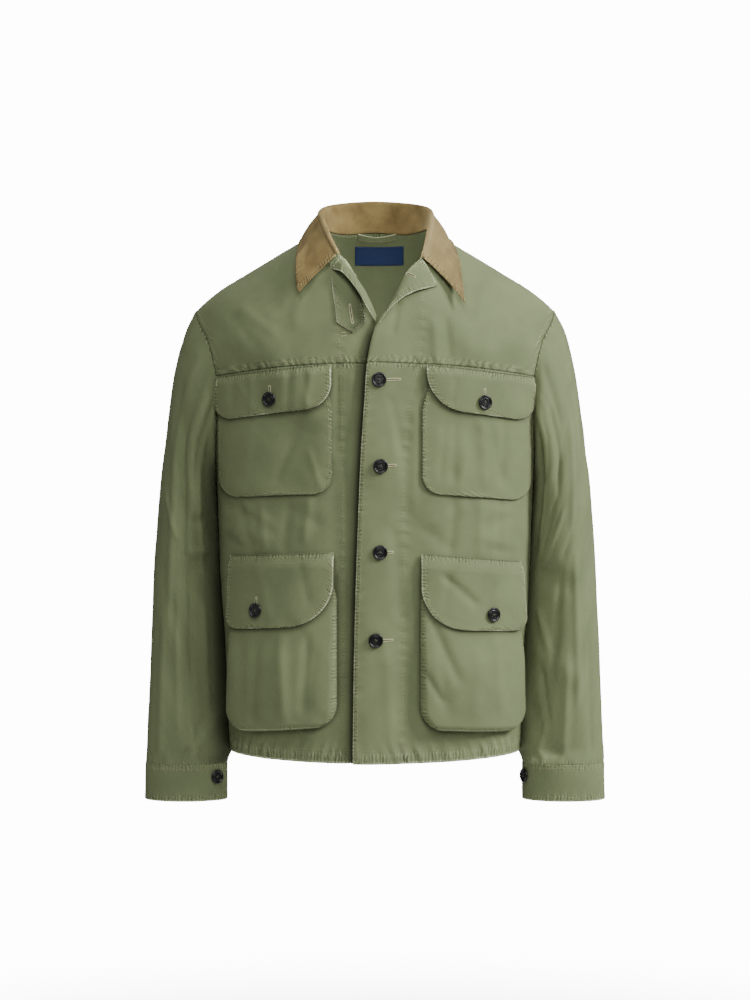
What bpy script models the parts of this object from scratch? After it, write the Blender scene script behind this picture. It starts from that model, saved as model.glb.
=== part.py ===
"""A cotton twill shirt jacket with a corduroy collar, filled out as if worn, with nobody in it.

Sizes are in millimetres and become metres when a mesh is made. X runs to the right as one looks
at the front, Y to the back and Z up. The origin is the middle of the neck, level with its two sides.
A point of the body is found from an angle round the body (0 at the middle, 90 degrees at the side)
and a lap: how far down over the shoulder it lies, an angle first and then a drop on the straight.
"""

import functools
import math

import bpy
import numpy as np

# ------------------------------------------------------------------ driving sizes, millimetres
MM = 0.001
TWILL = 1.7  # wall of one layer of the cotton
CORDUROY = 1.8  # wall of the collar
STAND_AT_END = 1.5  # at its front ends the collar's stand shrinks to this
LABEL = 0.8
SEAM = 0.3  # gap left between pieces that are sewn together
LAYER = TWILL + SEAM + 0.2  # middle of one layer to the middle of a layer lying on it
SQUARENESS = 2.3  # 2 is an ellipse; more is a fuller, squarer body section
ROUND = 140.0  # how far the shoulder takes to round over to the straight front and back
RIDGE_Y = 5.0  # the shoulder ridge lies this far behind the middle
SHOULDER_SLOPE = 0.62
NECK_ROUND = 40.0  # rounding of the shoulder line across the neck
NECK_EVEN = 80.6  # the shoulder line passes height 0 here
SHOULDER_TIP_FROM = 200.0  # the shoulder line bends down past here
SHOULDER_TIP_DROP = 8.2
SHOULDER_TIP_WIDTH = 41.0
SHOULDER_WRAP = math.radians(6)  # the back comes over the ridge to the shoulder seam by this
ARMPIT = -325.0
YOKE_SEAM_MIDDLE = -187.0
YOKE_SEAM_SIDE = -201.0
HEM_MIDDLE = -707.0
HEM_SIDE_RISE = 7.0
NECK_SHARE = 0.2  # share of the back's half width that is neck opening at the top
NECK_BACK_LAP = math.radians(38.5)  # the back neckline lies this far down from the shoulder seam
BUTTON_RADIUS = 9.6
BUTTON_THICKNESS = 3.2
BUTTON_STANDOFF = 0.5
FRONT_ROWS_TO_ARMPIT = 6
BACK_ROWS_TO_ARMPIT = 13
SLEEVE_RADIUS = 60.0  # of the tube that the sleeve's folds are laid out on
SLEEVE_LENGTH = 610.0
CUFF_TOP = -716.8  # a seam's gap below the end of the sleeve
CUFF_HEIGHT = 48.0
CUFF_OUTER_X = (307.6, 309.2)  # at its top and bottom
CUFF_INNER_X = 198.6
CUFF_DEPTH = (40.0, 39.0)
CUFF_MIDDLE_Y = -9.0
CUFF_LAP = 2.5  # the under end of a cuff lies this far inside the upper one
CUFF_UNDER = 0.46  # for this angle, in radians, and the step out to the full size takes the next
CUFF_STEP = 0.3
CUFF_TURN = math.radians(385)
CUFF_COLUMNS = 34
CUFF_BUTTON_ROW = 1
CUFF_BUTTON_COLUMN = 30
CUFF_BUTTON_ANGLE = {"left": 138.0, "right": 160.0}  # 90 is the front, 180 the side by the body
PATCH_LIFT = 0.7  # a patch stands this much further off, because panels are flat between points
FLAP_STANDOFF = 0.6  # and a flap this much further off its pocket
LAPEL_STANDOFF = {-1: 0.0, 1: 0.5}
LAPEL_ROLL = 2.2  # a lapel bows off the front by this between its roll and its edge
COLLAR_SEAM_RISE = CORDUROY / 2 + TWILL / 2 + 0.5  # the stand starts this far above the neckline
COLLAR_BOW = 5.0
COLLAR_CLEAR = np.array([4.0, 5.0, 5.5, 5.5])  # the fall's rows keep this far off the body
COLLAR_CLEAR_FRONT = 2.0  # and this much more over the lapels
NECK_END = {-1: -47.0, 1: -52.0}  # height on each front where the collar's seam ends

OLIVE = (0.235, 0.262, 0.135, 1.0)
TAN = (0.300, 0.215, 0.105, 1.0)
NAVY = (0.019, 0.038, 0.107, 1.0)
BLACK = (0.012, 0.012, 0.012, 1.0)


def table(names, *rows):
    """A short table: each named column as an array, in the order of the names."""
    return dict(zip(names.split(), np.array(rows, float).T))


BODY = table(
    "height half_width front back",
    (60, 274, 96, 128),
    (0, 270, 100, 126),
    (-60, 266, 110, 123),
    (-110, 262, 119, 121),
    (-150, 246, 125, 120),
    (-200, 232, 130, 119),
    (-240, 225, 131, 117),
    (-280, 219, 131, 115),
    (-325, 214, 130, 113),
    (-430, 209, 127, 110),
    (-550, 202, 123, 109),
    (-707, 194, 120, 108),
)
ARMHOLE = table(
    "height front_x back_x",
    (60, 241, 241),
    (-100, 241, 241),
    (-112, 240.5, 240.5),
    (-128, 235, 236.5),
    (-150, 223, 228),
    (-176, 214.5, 219),
    (-203, 210.5, 214),
    (-238, 209.5, 211),
    (-280, 211, 211),
    (-310, 213.5, 213.5),
    (-325, 216, 216),
    (-800, 216, 216),
)
# Inner edge of each front: neckline, then the line where the lapel rolls, then the front edge.
FRONT_EDGE = {
    -1: table(
        "height x",
        (20, 72),
        (0, 72),
        (-8, 71.5),
        (-24, 62),
        (-42, 47),
        (-56, 35.4),
        (-80, 21.8),
        (-101, 9.4),
        (-128, -3),
        (-150, -14),
        (-187, -24),
        (-240, -25),
        (-707, -18),
        (-800, -18),
    ),
    1: table(
        "height x",
        (20, 72),
        (0, 72),
        (-10, 72),
        (-28, 68),
        (-46, 60.5),
        (-66, 43.2),
        (-88, 31.3),
        (-108, 22),
        (-135, 3),
        (-152, -2.6),
        (-183, -9),
        (-235, -13),
        (-295, -17),
        (-414, -22),
        (-574, -26.5),
        (-707, -28),
        (-800, -28),
    ),
}
# The largest folds: soft troughs and ridges from one point of the front view to another.
FOLDS = table(
    "face x1 z1 x2 z2 width depth",
    (-1, -200, -135, -120, -185, 24, 3.0),
    (-1, -192, -182, -100, -290, 30, -3.4),
    (-1, 200, -140, 120, -180, 26, 3.0),
    (-1, 190, -180, 110, -285, 30, -3.0),
    (-1, -92, -262, -132, -350, 28, -4.0),
    (-1, -150, -380, -176, -420, 28, 3.0),
    (-1, 38, -230, 44, -690, 20, -2.4),
    (-1, -42, -250, -44, -690, 18, -2.6),
    (-1, 170, -375, 160, -425, 28, 3.0),
    (-1, -140, -560, -150, -690, 34, 2.6),
    (-1, 140, -560, 150, -690, 34, 2.6),
    (-1, 130, -60, 120, -130, 24, -2.4),
    (1, -150, -120, -60, -240, 24, 3.2),
    (1, 150, -120, 60, -240, 24, 3.2),
    (1, -180, -230, -120, -380, 20, -3.6),
    (1, 180, -230, 125, -370, 20, -3.6),
    (1, -60, -420, -70, -690, 26, 3.6),
    (1, 40, -400, 60, -690, 24, -3.2),
    (1, 130, -480, 140, -690, 22, 3.0),
    (1, -150, -460, -145, -690, 22, -3.0),
)
# Sleeve stations: outer side, inner side, half depth and middle, for the right sleeve.
SLEEVE = table(
    "outer_x outer_z inner_x inner_z depth middle_y",
    (241, -110, 217.0, -323, 66, 8),
    (257, -142, 217.5, -336, 72, 9),
    (267.5, -182, 217.4, -352, 71, 11),
    (275.6, -225, 216.2, -376, 68, 12),
    (284, -291, 214.6, -412, 67, 12),
    (290.8, -356, 212.8, -450, 65, 10),
    (296.6, -434, 210.4, -500, 61, 7),
    (299.8, -510, 207.6, -556, 57, 3),
    (303.2, -600, 203.6, -625, 50, -2),
    (305.5, -670, 200.4, -682, 44, -6),
    (307.5, -716.4, 198.6, -716.4, 40, -9),
)
# Sleeve folds run from one angle and share of the length to another; 90 degrees is the front.
SLEEVE_FOLDS = table(
    "hand angle1 share1 angle2 share2 width depth",
    (1, 118, 0.14, 150, 0.50, 13, -6.0),
    (1, 88, 0.05, 110, 0.34, 17, 4.0),
    (1, 40, 0.22, 100, 0.36, 16, -3.6),
    (1, 132, 0.55, 70, 0.64, 13, -4.4),
    (1, 138, 0.72, 60, 0.80, 12, 3.6),
    (1, 140, 0.82, 96, 0.97, 12, -4.2),
    (1, 300, 0.20, 230, 0.42, 18, -4.0),
    (1, 310, 0.52, 225, 0.60, 15, -3.6),
    (1, 250, 0.70, 300, 0.90, 15, 3.2),
    (-1, 116, 0.12, 140, 0.46, 13, -5.4),
    (-1, 80, 0.06, 100, 0.40, 18, 4.0),
    (-1, 50, 0.20, 84, 0.48, 16, -3.2),
    (-1, 134, 0.50, 80, 0.62, 14, -3.8),
    (-1, 60, 0.66, 120, 0.78, 13, -3.4),
    (-1, 136, 0.84, 90, 0.95, 12, 3.4),
    (-1, 295, 0.22, 235, 0.44, 18, -4.0),
    (-1, 240, 0.50, 305, 0.62, 15, -3.4),
    (-1, 255, 0.72, 300, 0.88, 15, 3.0),
)
# Collar, from its left front end round the back: the fold it turns over on, and its outer edge.
COLLAR = table(
    "share fold_x fold_y fold_z edge_x edge_y edge_z roll",
    (0.00, -47, -89, -40, -100, -103, -98, 2.2),
    (0.10, -59, -60, -13, -104, -86, -66, 2.9),
    (0.19, -67, -26, 10, -103, -42, -33, 3.3),
    (0.28, -71.5, 6, 28, -97, 6, -10, 3.5),
    (0.38, -55, 46, 41, -78, 70, -19, 3.6),
    (0.50, 1, 67, 48, 1, 100, -18, 3.6),
    (0.62, 57, 46, 41, 82, 70, -20, 3.6),
    (0.72, 73, 6, 28, 99, 6, -12, 3.5),
    (0.81, 72, -26, 7, 109, -44, -44, 3.3),
    (0.90, 68.5, -58, -15, 114, -88, -76, 2.9),
    (1.00, 61, -85, -44, 117, -106, -109, 2.2),
)
# Lapels, each from its upper corner line to the point where it meets the front edge.
LAPEL = {
    -1: table(
        "share roll_x roll_z edge_x edge_z",
        (0.0, -42.5, -48, -55, -64),
        (0.3, -35.4, -56, -38, -76),
        (0.6, -21.8, -80, -21.7, -97.5),
        (0.85, -9.4, -101, -8.4, -120),
        (1.0, 0.5, -125, 0.8, -134),
    ),
    1: table(
        "share roll_x roll_z edge_x edge_z",
        (0.0, 60.5, -48, 80, -85.5),
        (0.25, 43.2, -66, 52, -95),
        (0.5, 31.3, -88, 33, -105),
        (0.75, 19, -112, 18, -119),
        (1.0, 8, -128, 4.5, -138),
    ),
}
# Patches on the fronts: sides and ends as seen from the front, with the corner rounding.
PATCH = {
    "chest_pocket_left": dict(x=(-205, -56), low=(-360, -357), top=(-222, -208), corner=(26, 24)),
    "chest_pocket_right": dict(x=(61, 205), low=(-357, -364), top=(-208, -222), corner=(24, 26)),
    "chest_flap_left": dict(x=(-208, -57), low=(-257, -247), top=(-202.6, -189.2), corner=(22, 34)),
    "chest_flap_right": dict(x=(67, 208), low=(-250, -258), top=(-190.2, -202.6), corner=(52, 26)),
    "hip_pocket_left": dict(x=(-188, -50), low=(-668, -660), top=(-456, -452), corner=(28, 30)),
    "hip_pocket_right": dict(x=(59, 189), low=(-664, -668), top=(-453, -462), corner=(32, 28)),
    "hip_flap_left": dict(x=(-188, -54), low=(-533, -529), top=(-438, -433), corner=(14, 60)),
    "hip_flap_right": dict(x=(60, 189), low=(-533, -536), top=(-435, -446), corner=(56, 16)),
}
FRONT_BUTTONS = table(
    "number x z",
    (1, 5.6, -209.5),
    (2, 6.0, -320),
    (3, 5.2, -432.5),
    (4, 0.8, -546.5),
)
CHEST_BUTTONS = {"left": (-135.5, -233.5), "right": (141.5, -237.5)}
HIP_BUTTONS = {"left": (-150, -510), "right": (149, -513)}
POCKET_MOUTH = 2.0  # how far the top of a hip pocket stands off
POCKET_BULGE = 13.0  # how far the bottom of a hip pocket stands off the front
FLAP_RISE = 12.0  # below its seam a flap takes this far to clear the pocket's top
GUSSET = 8.0  # the gusset of a hip pocket leans in this far from its seam to its face
THROAT_TAB = table(
    "share left_x left_z right_x right_z",
    (0.0, -58, -54, -20, -92),
    (0.35, -55, -90, -17, -108),
    (0.80, -49.5, -132, -12.5, -130),
    (0.83, -48.5, -135, -12.8, -133),
    (1.0, -29.5, -147.5, -27.5, -147.5),
)
LABEL_SIZE = dict(x=(-28, 40), z=(-36, -12), inside=1.2)
LOOP_SIZE = dict(x=(-24, 30), z=(-7.5, -1.0), drop=1.5, stand=3.2, inside=2.0, wall=1.2)


# ------------------------------------------------------------------ curves through the tables
def along(rows, key, value, at):
    """A smooth curve through a table's column, by the column named as key (either order)."""
    xs = rows[key]
    ys = rows[value]
    if xs[0] > xs[-1]:
        xs = xs[::-1]
        ys = ys[::-1]
    slope = np.gradient(ys, xs)
    at = np.clip(at, xs[0], xs[-1])
    left = np.clip(np.searchsorted(xs, at) - 1, 0, len(xs) - 2)
    span = xs[left + 1] - xs[left]
    t = (at - xs[left]) / span
    return (
        ys[left] * (2 * t**3 - 3 * t**2 + 1)
        + ys[left + 1] * (3 * t**2 - 2 * t**3)
        + slope[left] * span * (t**3 - 2 * t**2 + t)
        + slope[left + 1] * span * (t**3 - t**2)
    )


def soft(t):
    """0 below 0, 1 above 1, and a soft S between."""
    t = np.clip(t, 0, 1)
    return t * t * (3 - 2 * t)


def mix(a, b, t):
    return a + (b - a) * t


def unit(v):
    return v / np.maximum(np.linalg.norm(v, axis=-1, keepdims=True), 1e-9)


def signed_power(v, power):
    return np.sign(v) * np.abs(v) ** power


# ------------------------------------------------------------------ the body's form
def shoulder_line(x):
    """Height of the shoulder ridge at x: round over the neck, straight, then bending down at its tip."""
    tip = np.maximum(np.abs(x) - SHOULDER_TIP_FROM, 0) / SHOULDER_TIP_WIDTH
    return -SHOULDER_SLOPE * (np.hypot(x, NECK_ROUND) - NECK_EVEN) - SHOULDER_TIP_DROP * tip**2


def drop_of(lap):
    """How far below the ridge a lap lies: a quarter circle, then straight down."""
    lap = np.abs(lap)
    return ROUND * np.where(lap < math.pi / 2, 1 - np.cos(lap), 1 + lap - math.pi / 2)


def lap_of(drop):
    share = np.maximum(drop, 0) / ROUND
    return np.where(share < 1, np.arccos(np.clip(1 - share, -1, 1)), math.pi / 2 + share - 1)


def angle_of(x, z):
    """The angle round the body of a point at x and height z."""
    share = np.clip(np.abs(x) / along(BODY, "height", "half_width", z), 0, 1)
    return np.sign(x) * np.arcsin(share ** (SQUARENESS / 2))


def body_point(angle, lap, face):
    """A point of the smooth body; face is -1 for the front and 1 for the back.

    A lap below 0 lies past the ridge, on the other face. Height and width depend on each other,
    so they are found together, by repeating.
    """
    z = -200.0 * np.ones(np.broadcast(angle, lap).shape)
    for _ in range(24):
        x = along(BODY, "height", "half_width", z) * signed_power(np.sin(angle), 2 / SQUARENESS)
        z = shoulder_line(x) - drop_of(lap)
    side = np.where(lap < 0, -face, face)
    depth = np.where(side < 0, along(BODY, "height", "front", z), along(BODY, "height", "back", z))
    depth = depth * np.abs(np.cos(angle)) ** (2 / SQUARENESS)
    y = RIDGE_Y + side * depth * np.sin(np.minimum(np.abs(lap), math.pi / 2))
    return np.stack([x, y, z], -1)


def body_normal(angle, lap, face):
    step = 1e-3
    inward = np.where(angle > 0, -step, step)
    across = body_point(angle, lap, face) - body_point(angle + inward, lap, face)
    across = across * np.sign(-inward)[..., None]
    down = body_point(angle, lap + step, face) - body_point(angle, lap - step, face)
    return unit(np.cross(across, down)) * face


def trough(x, z, x1, z1, x2, z2, width):
    """1 along a line, falling to 0 within about two widths, and fading towards both its ends."""
    length = math.hypot(x2 - x1, z2 - z1)
    along_line = ((x - x1) * (x2 - x1) + (z - z1) * (z2 - z1)) / length
    beside = ((x - x1) * (z2 - z1) - (z - z1) * (x2 - x1)) / length
    fade = soft(along_line / (0.3 * length) + 0.5) * soft((length - along_line) / (0.3 * length) + 0.5)
    return np.exp(-((beside / width) ** 2)) * fade


def folds(x, z, face):
    """Height of the big folds of one face at a point."""
    total = np.zeros(np.shape(x))
    for side, x1, z1, x2, z2, width, depth in zip(*FOLDS.values()):
        if side == face:
            total = total + depth * trough(x, z, x1, z1, x2, z2, width)
    return total


def overlap_lift(x, z, hand):
    """The right front rises over the left one where they lap, and the left one sinks under it."""
    below_roll = soft((-100 - z) / 50)
    if hand > 0:
        return below_roll * 5.6 * soft((62 - x) / 78)
    return -below_roll * 2.2 * soft((x + 38) / 40)


def cloth_points(angle, lap, face, hand=0, out=0.0):
    """Middle points of the cloth and its normals, raised by out from the panel's own middle."""
    point = body_point(angle, lap, face)
    normal = body_normal(angle, lap, face)
    rise = folds(point[..., 0], point[..., 2], face) + out
    if hand:
        rise = rise + overlap_lift(point[..., 0], point[..., 2], hand)
    return point + normal * np.asarray(rise)[..., None], normal


def on_front(x, z, out):
    """Points on the front panels at a place of the front view, raised by out."""
    x, z, out = np.broadcast_arrays(np.asarray(x, float), np.asarray(z, float), np.asarray(out, float))
    angle = angle_of(x, z)
    lap = lap_of(shoulder_line(x) - z)
    rise = np.where(x > -12, overlap_lift(x, z, 1), overlap_lift(x, z, -1))
    return cloth_points(angle, lap, -1, 0, out + rise)


# ------------------------------------------------------------------ meshes
def material(name, colour, roughness):
    made = bpy.data.materials.new(name)
    made.use_nodes = True
    shader = made.node_tree.nodes["Principled BSDF"]
    shader.inputs["Base Color"].default_value = colour
    shader.inputs["Roughness"].default_value = roughness
    shader.inputs["Metallic"].default_value = 0.0
    return made


def add_object(name, points, faces, colour, roughness):
    mesh = bpy.data.meshes.new(name)
    mesh.from_pydata((np.reshape(points, (-1, 3)) * MM).tolist(), [], faces)
    mesh.update()
    mesh.shade_smooth()
    mesh.set_sharp_from_angle(angle=math.radians(40))
    mesh.materials.append(material(name, colour, roughness))
    made = bpy.data.objects.new(name, mesh)
    bpy.context.scene.collection.objects.link(made)
    return made


def facing_out(points, faces):
    """The triangles, all turned round if the volume that they close comes out negative."""
    a, b, c = points[faces[:, 0]], points[faces[:, 1]], points[faces[:, 2]]
    volume = np.sum(a * np.cross(b, c))
    return faces if volume > 0 else faces[:, ::-1]


def wall(name, middle, normal, thickness, colour, tube=False):
    """One closed wall of cloth round a grid of middle points.

    The grid is moved half the thickness each way, and its rims are joined. In a tube the last
    column joins the first. Each four-sided face is cut along its shorter diagonal, and the same
    way on both sides, so the wall keeps its thickness.
    """
    rows, columns = middle.shape[:2]
    half = normal * thickness / 2
    points = np.concatenate([(middle + half).reshape(-1, 3), (middle - half).reshape(-1, 3)])
    number = np.arange(rows * columns).reshape(rows, columns)
    if tube:
        number = np.concatenate([number, number[:, :1]], 1)
    far = rows * columns
    a, b = number[:-1, :-1].ravel(), number[:-1, 1:].ravel()
    c, d = number[1:, 1:].ravel(), number[1:, :-1].ravel()
    spots = middle.reshape(-1, 3)
    first = np.linalg.norm(spots[a] - spots[c], axis=1) <= np.linalg.norm(spots[b] - spots[d], axis=1)
    first = first[:, None]
    outer = np.concatenate(
        [
            np.where(first, np.stack([a, d, c], 1), np.stack([a, d, b], 1)),
            np.where(first, np.stack([a, c, b], 1), np.stack([b, d, c], 1)),
        ]
    )
    inner = outer[:, ::-1] + far
    rims = [number[0, :], number[-1, ::-1]]
    if not tube:
        rims += [number[::-1, 0], number[:, -1]]
    faces = [outer, inner]
    for rim in rims:
        start, end = rim[:-1], rim[1:]
        faces.append(np.stack([start, end, end + far], 1))
        faces.append(np.stack([start, end + far, start + far], 1))
    faces = facing_out(points, np.concatenate(faces))
    return add_object(name, points, faces.tolist(), colour, 0.85)


def grid_normals(points, tube=False):
    """Normals of a grid of points, from its neighbours along rows and columns."""
    if tube:
        across = np.roll(points, -1, 1) - np.roll(points, 1, 1)
    else:
        across = np.gradient(points, axis=1)
    down = np.gradient(points, axis=0)
    return unit(np.cross(down, across))


# ------------------------------------------------------------------ fronts and back
def yoke_seam_height(x):
    return mix(YOKE_SEAM_MIDDLE, YOKE_SEAM_SIDE, (np.abs(x) / 212) ** 2)


def hem_height(x):
    return HEM_MIDDLE + HEM_SIDE_RISE * (np.abs(x) / 194) ** 2


def side_angle(z, column):
    """Angle of a panel's outer edge: along the armhole, then at the side seam."""
    return angle_of(along(ARMHOLE, "height", column, z), z)


def front_angle(share, z, hand):
    """Angle round the body of a front's column, from its inner edge to its armhole or side."""
    inner = angle_of(along(FRONT_EDGE[hand], "height", "x", z), z)
    return mix(inner, side_angle(z, "front_x"), share)


def upper_grid(shares, laps_down, angle_at, top_lap, low_height):
    """Angles and laps of rows that run from a top line over the shoulder to a line at a height."""
    share, down = np.meshgrid(shares, laps_down)
    z = -150.0 * np.ones(share.shape)
    for _ in range(30):
        angle = angle_at(share, z)
        x = along(BODY, "height", "half_width", z) * signed_power(np.sin(angle), 2 / SQUARENESS)
        low_lap = lap_of(shoulder_line(x) - low_height(x))
        lap = mix(top_lap(share), low_lap, down)
        z = shoulder_line(x) - drop_of(lap)
    return angle, lap


def lower_grid(shares, downs, angle_at, high_height, low_height):
    """Angles and laps of rows that run from one height to another."""
    share, down = np.meshgrid(shares, downs)
    z = -400.0 * np.ones(share.shape)
    for _ in range(30):
        angle = angle_at(share, z)
        x = along(BODY, "height", "half_width", z) * signed_power(np.sin(angle), 2 / SQUARENESS)
        z = mix(high_height(x), low_height(x), down)
    return angle, lap_of(shoulder_line(x) - z)


def trimmed(values, low, high):
    """Shares from 0 to 1 with the first and last moved in by the seam gaps."""
    values = np.array(values, float)
    values[0] += low
    values[-1] -= high
    return values


SIDE_TRIM = 0.0011  # share of a panel's width that makes half a seam gap
FRONT_COLUMNS = np.array([0, 0.07, 0.16, 0.26, 0.37, 0.48, 0.59, 0.70, 0.80, 0.89, 0.95, 1.0])
YOKE_ROWS = np.linspace(0, 1, 10)


def front_panel(hand):
    """A front below the yoke: from the yoke seam past the foot of the armhole to the hem."""
    armpit_share = (YOKE_SEAM_SIDE - ARMPIT) / (YOKE_SEAM_SIDE - HEM_MIDDLE - HEM_SIDE_RISE)
    above = np.linspace(0, armpit_share, FRONT_ROWS_TO_ARMPIT)
    downs = np.concatenate([above, np.linspace(armpit_share, 1, 12)[1:]])
    angle, lap = lower_grid(
        trimmed(FRONT_COLUMNS, 0, SIDE_TRIM),
        trimmed(downs, 0.0004, 0),
        lambda share, z: front_angle(share, z, hand),
        yoke_seam_height,
        hem_height,
    )
    return mirrored(angle, lap, hand)


def yoke_panel(hand):
    """A front above the yoke seam: from the shoulder seam down."""
    angle, lap = upper_grid(
        trimmed(FRONT_COLUMNS, 0, SIDE_TRIM),
        trimmed(YOKE_ROWS, 0.0009, 0.0012),
        lambda share, z: front_angle(share, z, hand),
        lambda share: SHOULDER_WRAP + 0 * share,
        yoke_seam_height,
    )
    return mirrored(angle, lap, hand)


def mirrored(angle, lap, hand):
    """Cloth points of a front. The angle counts outwards from the middle on both hands."""
    return cloth_points(hand * angle, lap, -1, hand)


def back_panel():
    """The back, in one piece from the shoulder seams and the neckline to the hem."""
    sides = 1 - np.array([0, 0.05, 0.12, 0.22, 0.34, 0.46, 0.58, 0.70, 0.80])
    neck = np.linspace(-NECK_SHARE, NECK_SHARE, 7)[1:-1]
    shares = np.concatenate([-sides, neck, sides[::-1]])
    shares[[0, -1]] *= 1 - SIDE_TRIM / 2

    def angle_at(share, z):
        return share * side_angle(z, "back_x")

    def top_lap(share):
        bow = np.sqrt(np.clip(1 - (share / NECK_SHARE) ** 2, 0, 1))
        return -SHOULDER_WRAP + 0.0011 + NECK_BACK_LAP * bow

    def armpit_height(x):
        return ARMPIT + 0 * x

    rows = np.linspace(0, 1, BACK_ROWS_TO_ARMPIT)
    upper = upper_grid(shares, rows, angle_at, top_lap, armpit_height)
    lower = lower_grid(shares, np.linspace(0, 1, 12)[1:], angle_at, armpit_height, hem_height)
    angle = np.concatenate([upper[0], lower[0]])
    lap = np.concatenate([upper[1], lower[1]])
    return cloth_points(angle, lap, 1)


# ------------------------------------------------------------------ sleeves and cuffs
def armhole_loop(yoke, front, back, hand):
    """The edge points round one armhole, from the shoulder down the front and up the back."""
    edge = -1 if hand > 0 else 0
    parts = []
    for k in range(2):
        parts.append(
            np.concatenate(
                [
                    yoke[k][:, -1],
                    front[k][1:FRONT_ROWS_TO_ARMPIT, -1],
                    back[k][1 : BACK_ROWS_TO_ARMPIT - 1, edge][::-1],
                ]
            )
        )
    return parts


def sleeve_grid(loop, hand, shares):
    """A sleeve: ellipses along the arm, which grow out of the armhole's own edge at the top."""
    edge, normal = loop
    span = edge[:, 2].max() - edge[:, 2].min()
    turn = np.arccos(np.clip(1 - 2 * (edge[:, 2].max() - edge[:, 2]) / span, -1, 1))
    back = np.arange(len(turn)) > np.argmax(turn)
    turn = np.where(back, 2 * math.pi - turn, turn)
    station = np.linspace(0, 1, len(SLEEVE["depth"]))
    get = {}
    for name, column in SLEEVE.items():
        get[name] = along({"at": station, name: column}, "at", name, shares)[:, None]
    cos = np.cos(turn)[None, :]
    sin = np.sin(turn)[None, :]
    x = mix(get["inner_x"], get["outer_x"], (1 + cos) / 2)
    z = mix(get["inner_z"], get["outer_z"], (1 + cos) / 2)
    y = get["middle_y"] - get["depth"] * sin
    tube = np.stack([hand * x, y, z], -1)
    start = edge + normal * LAYER
    blend = soft(shares / 0.34)[:, None, None]
    reach = tube - tube[:1]
    grown = start[None] + reach
    return mix(grown, tube, blend), turn


def sleeve_folds(points, normals, turn, shares, hand):
    """The sleeve's big folds, as troughs over the sleeve laid flat: angle by length."""
    across = turn[None, :] * SLEEVE_RADIUS
    down = shares[:, None] * SLEEVE_LENGTH
    total = np.zeros(points.shape[:2])
    for side, a1, s1, a2, s2, width, depth in zip(*SLEEVE_FOLDS.values()):
        if side == hand:
            arc1 = math.radians(a1) * SLEEVE_RADIUS
            arc2 = math.radians(a2) * SLEEVE_RADIUS
            ends = (arc1, s1 * SLEEVE_LENGTH, arc2, s2 * SLEEVE_LENGTH)
            total += depth * trough(across, down, *ends, width)
    beside_body = np.exp(-(((np.degrees(turn) - 180) / 34) ** 2))[None, :]
    faded = (soft(shares / 0.10) * soft((1 - shares) / 0.05))[:, None]
    total = np.where(total > 0, total * (1 - beside_body), total) * faded
    return points + normals * total[..., None]


def make_sleeve(name, loop, hand):
    shares = np.concatenate([[0, 0.025, 0.06, 0.11], np.linspace(0.17, 0.94, 12), [1]])
    points, turn = sleeve_grid(loop, hand, shares)
    normals = grid_normals(points, tube=True) * -hand
    points = sleeve_folds(points, normals, turn, shares, hand)
    normals = grid_normals(points, tube=True) * -hand
    wall(name, points, normals, TWILL, OLIVE, tube=True)


def cuff_grid(hand, shares, turns):
    """A cuff: a band below the sleeve whose two ends lap over each other on the inner front."""
    outer_x = mix(*CUFF_OUTER_X, shares)[:, None]
    z = (CUFF_TOP - CUFF_HEIGHT * shares)[:, None]
    lap = CUFF_LAP * (1 - soft((turns - turns[0] - CUFF_UNDER) / CUFF_STEP))
    radius_x = (outer_x - CUFF_INNER_X) / 2
    x = (outer_x + CUFF_INNER_X) / 2 + (radius_x - lap) * np.cos(turns)
    y = CUFF_MIDDLE_Y - (mix(*CUFF_DEPTH, shares)[:, None] - lap) * np.sin(turns)
    return np.stack([hand * x, y, z + 0 * turns[None, :]], -1)


def make_cuff(word, hand):
    """One cuff, and the button that its upper end carries."""
    steps = np.linspace(0, CUFF_TURN, CUFF_COLUMNS)
    turns = math.radians(CUFF_BUTTON_ANGLE[word] + 360) + steps - steps[CUFF_BUTTON_COLUMN]
    points = cuff_grid(hand, np.linspace(0, 1, 4), turns)
    normals = grid_normals(points) * -hand
    wall(f"cuff_{word}", points, normals, TWILL, OLIVE)
    spot = (CUFF_BUTTON_ROW, CUFF_BUTTON_COLUMN)
    normal = normals[spot] * np.sign(-normals[spot][1])
    make_button(f"button_cuff_{word}", points[spot] + normal * (TWILL / 2 + SEAM), normal)


# ------------------------------------------------------------------ collar and lapels
def neck_line(yokes, back):
    """The neckline's own points: up the left front, round the back, down the right front."""
    left = yokes[-1][0][:, 0]
    right = yokes[1][0][:, 0]
    left = left[left[:, 2] > NECK_END[-1]][::-1]
    right = right[right[:, 2] > NECK_END[1]]
    middle = back[0].shape[1] // 2
    neck = back[0][0, middle - 3 : middle + 4]
    return np.concatenate([left, neck, right])


def resample(points, shares):
    """Points at equal shares of a polyline's length."""
    length = np.concatenate([[0], np.cumsum(np.linalg.norm(np.diff(points, axis=0), axis=1))])
    return np.stack([np.interp(shares * length[-1], length, points[:, k]) for k in range(3)], -1)


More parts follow.
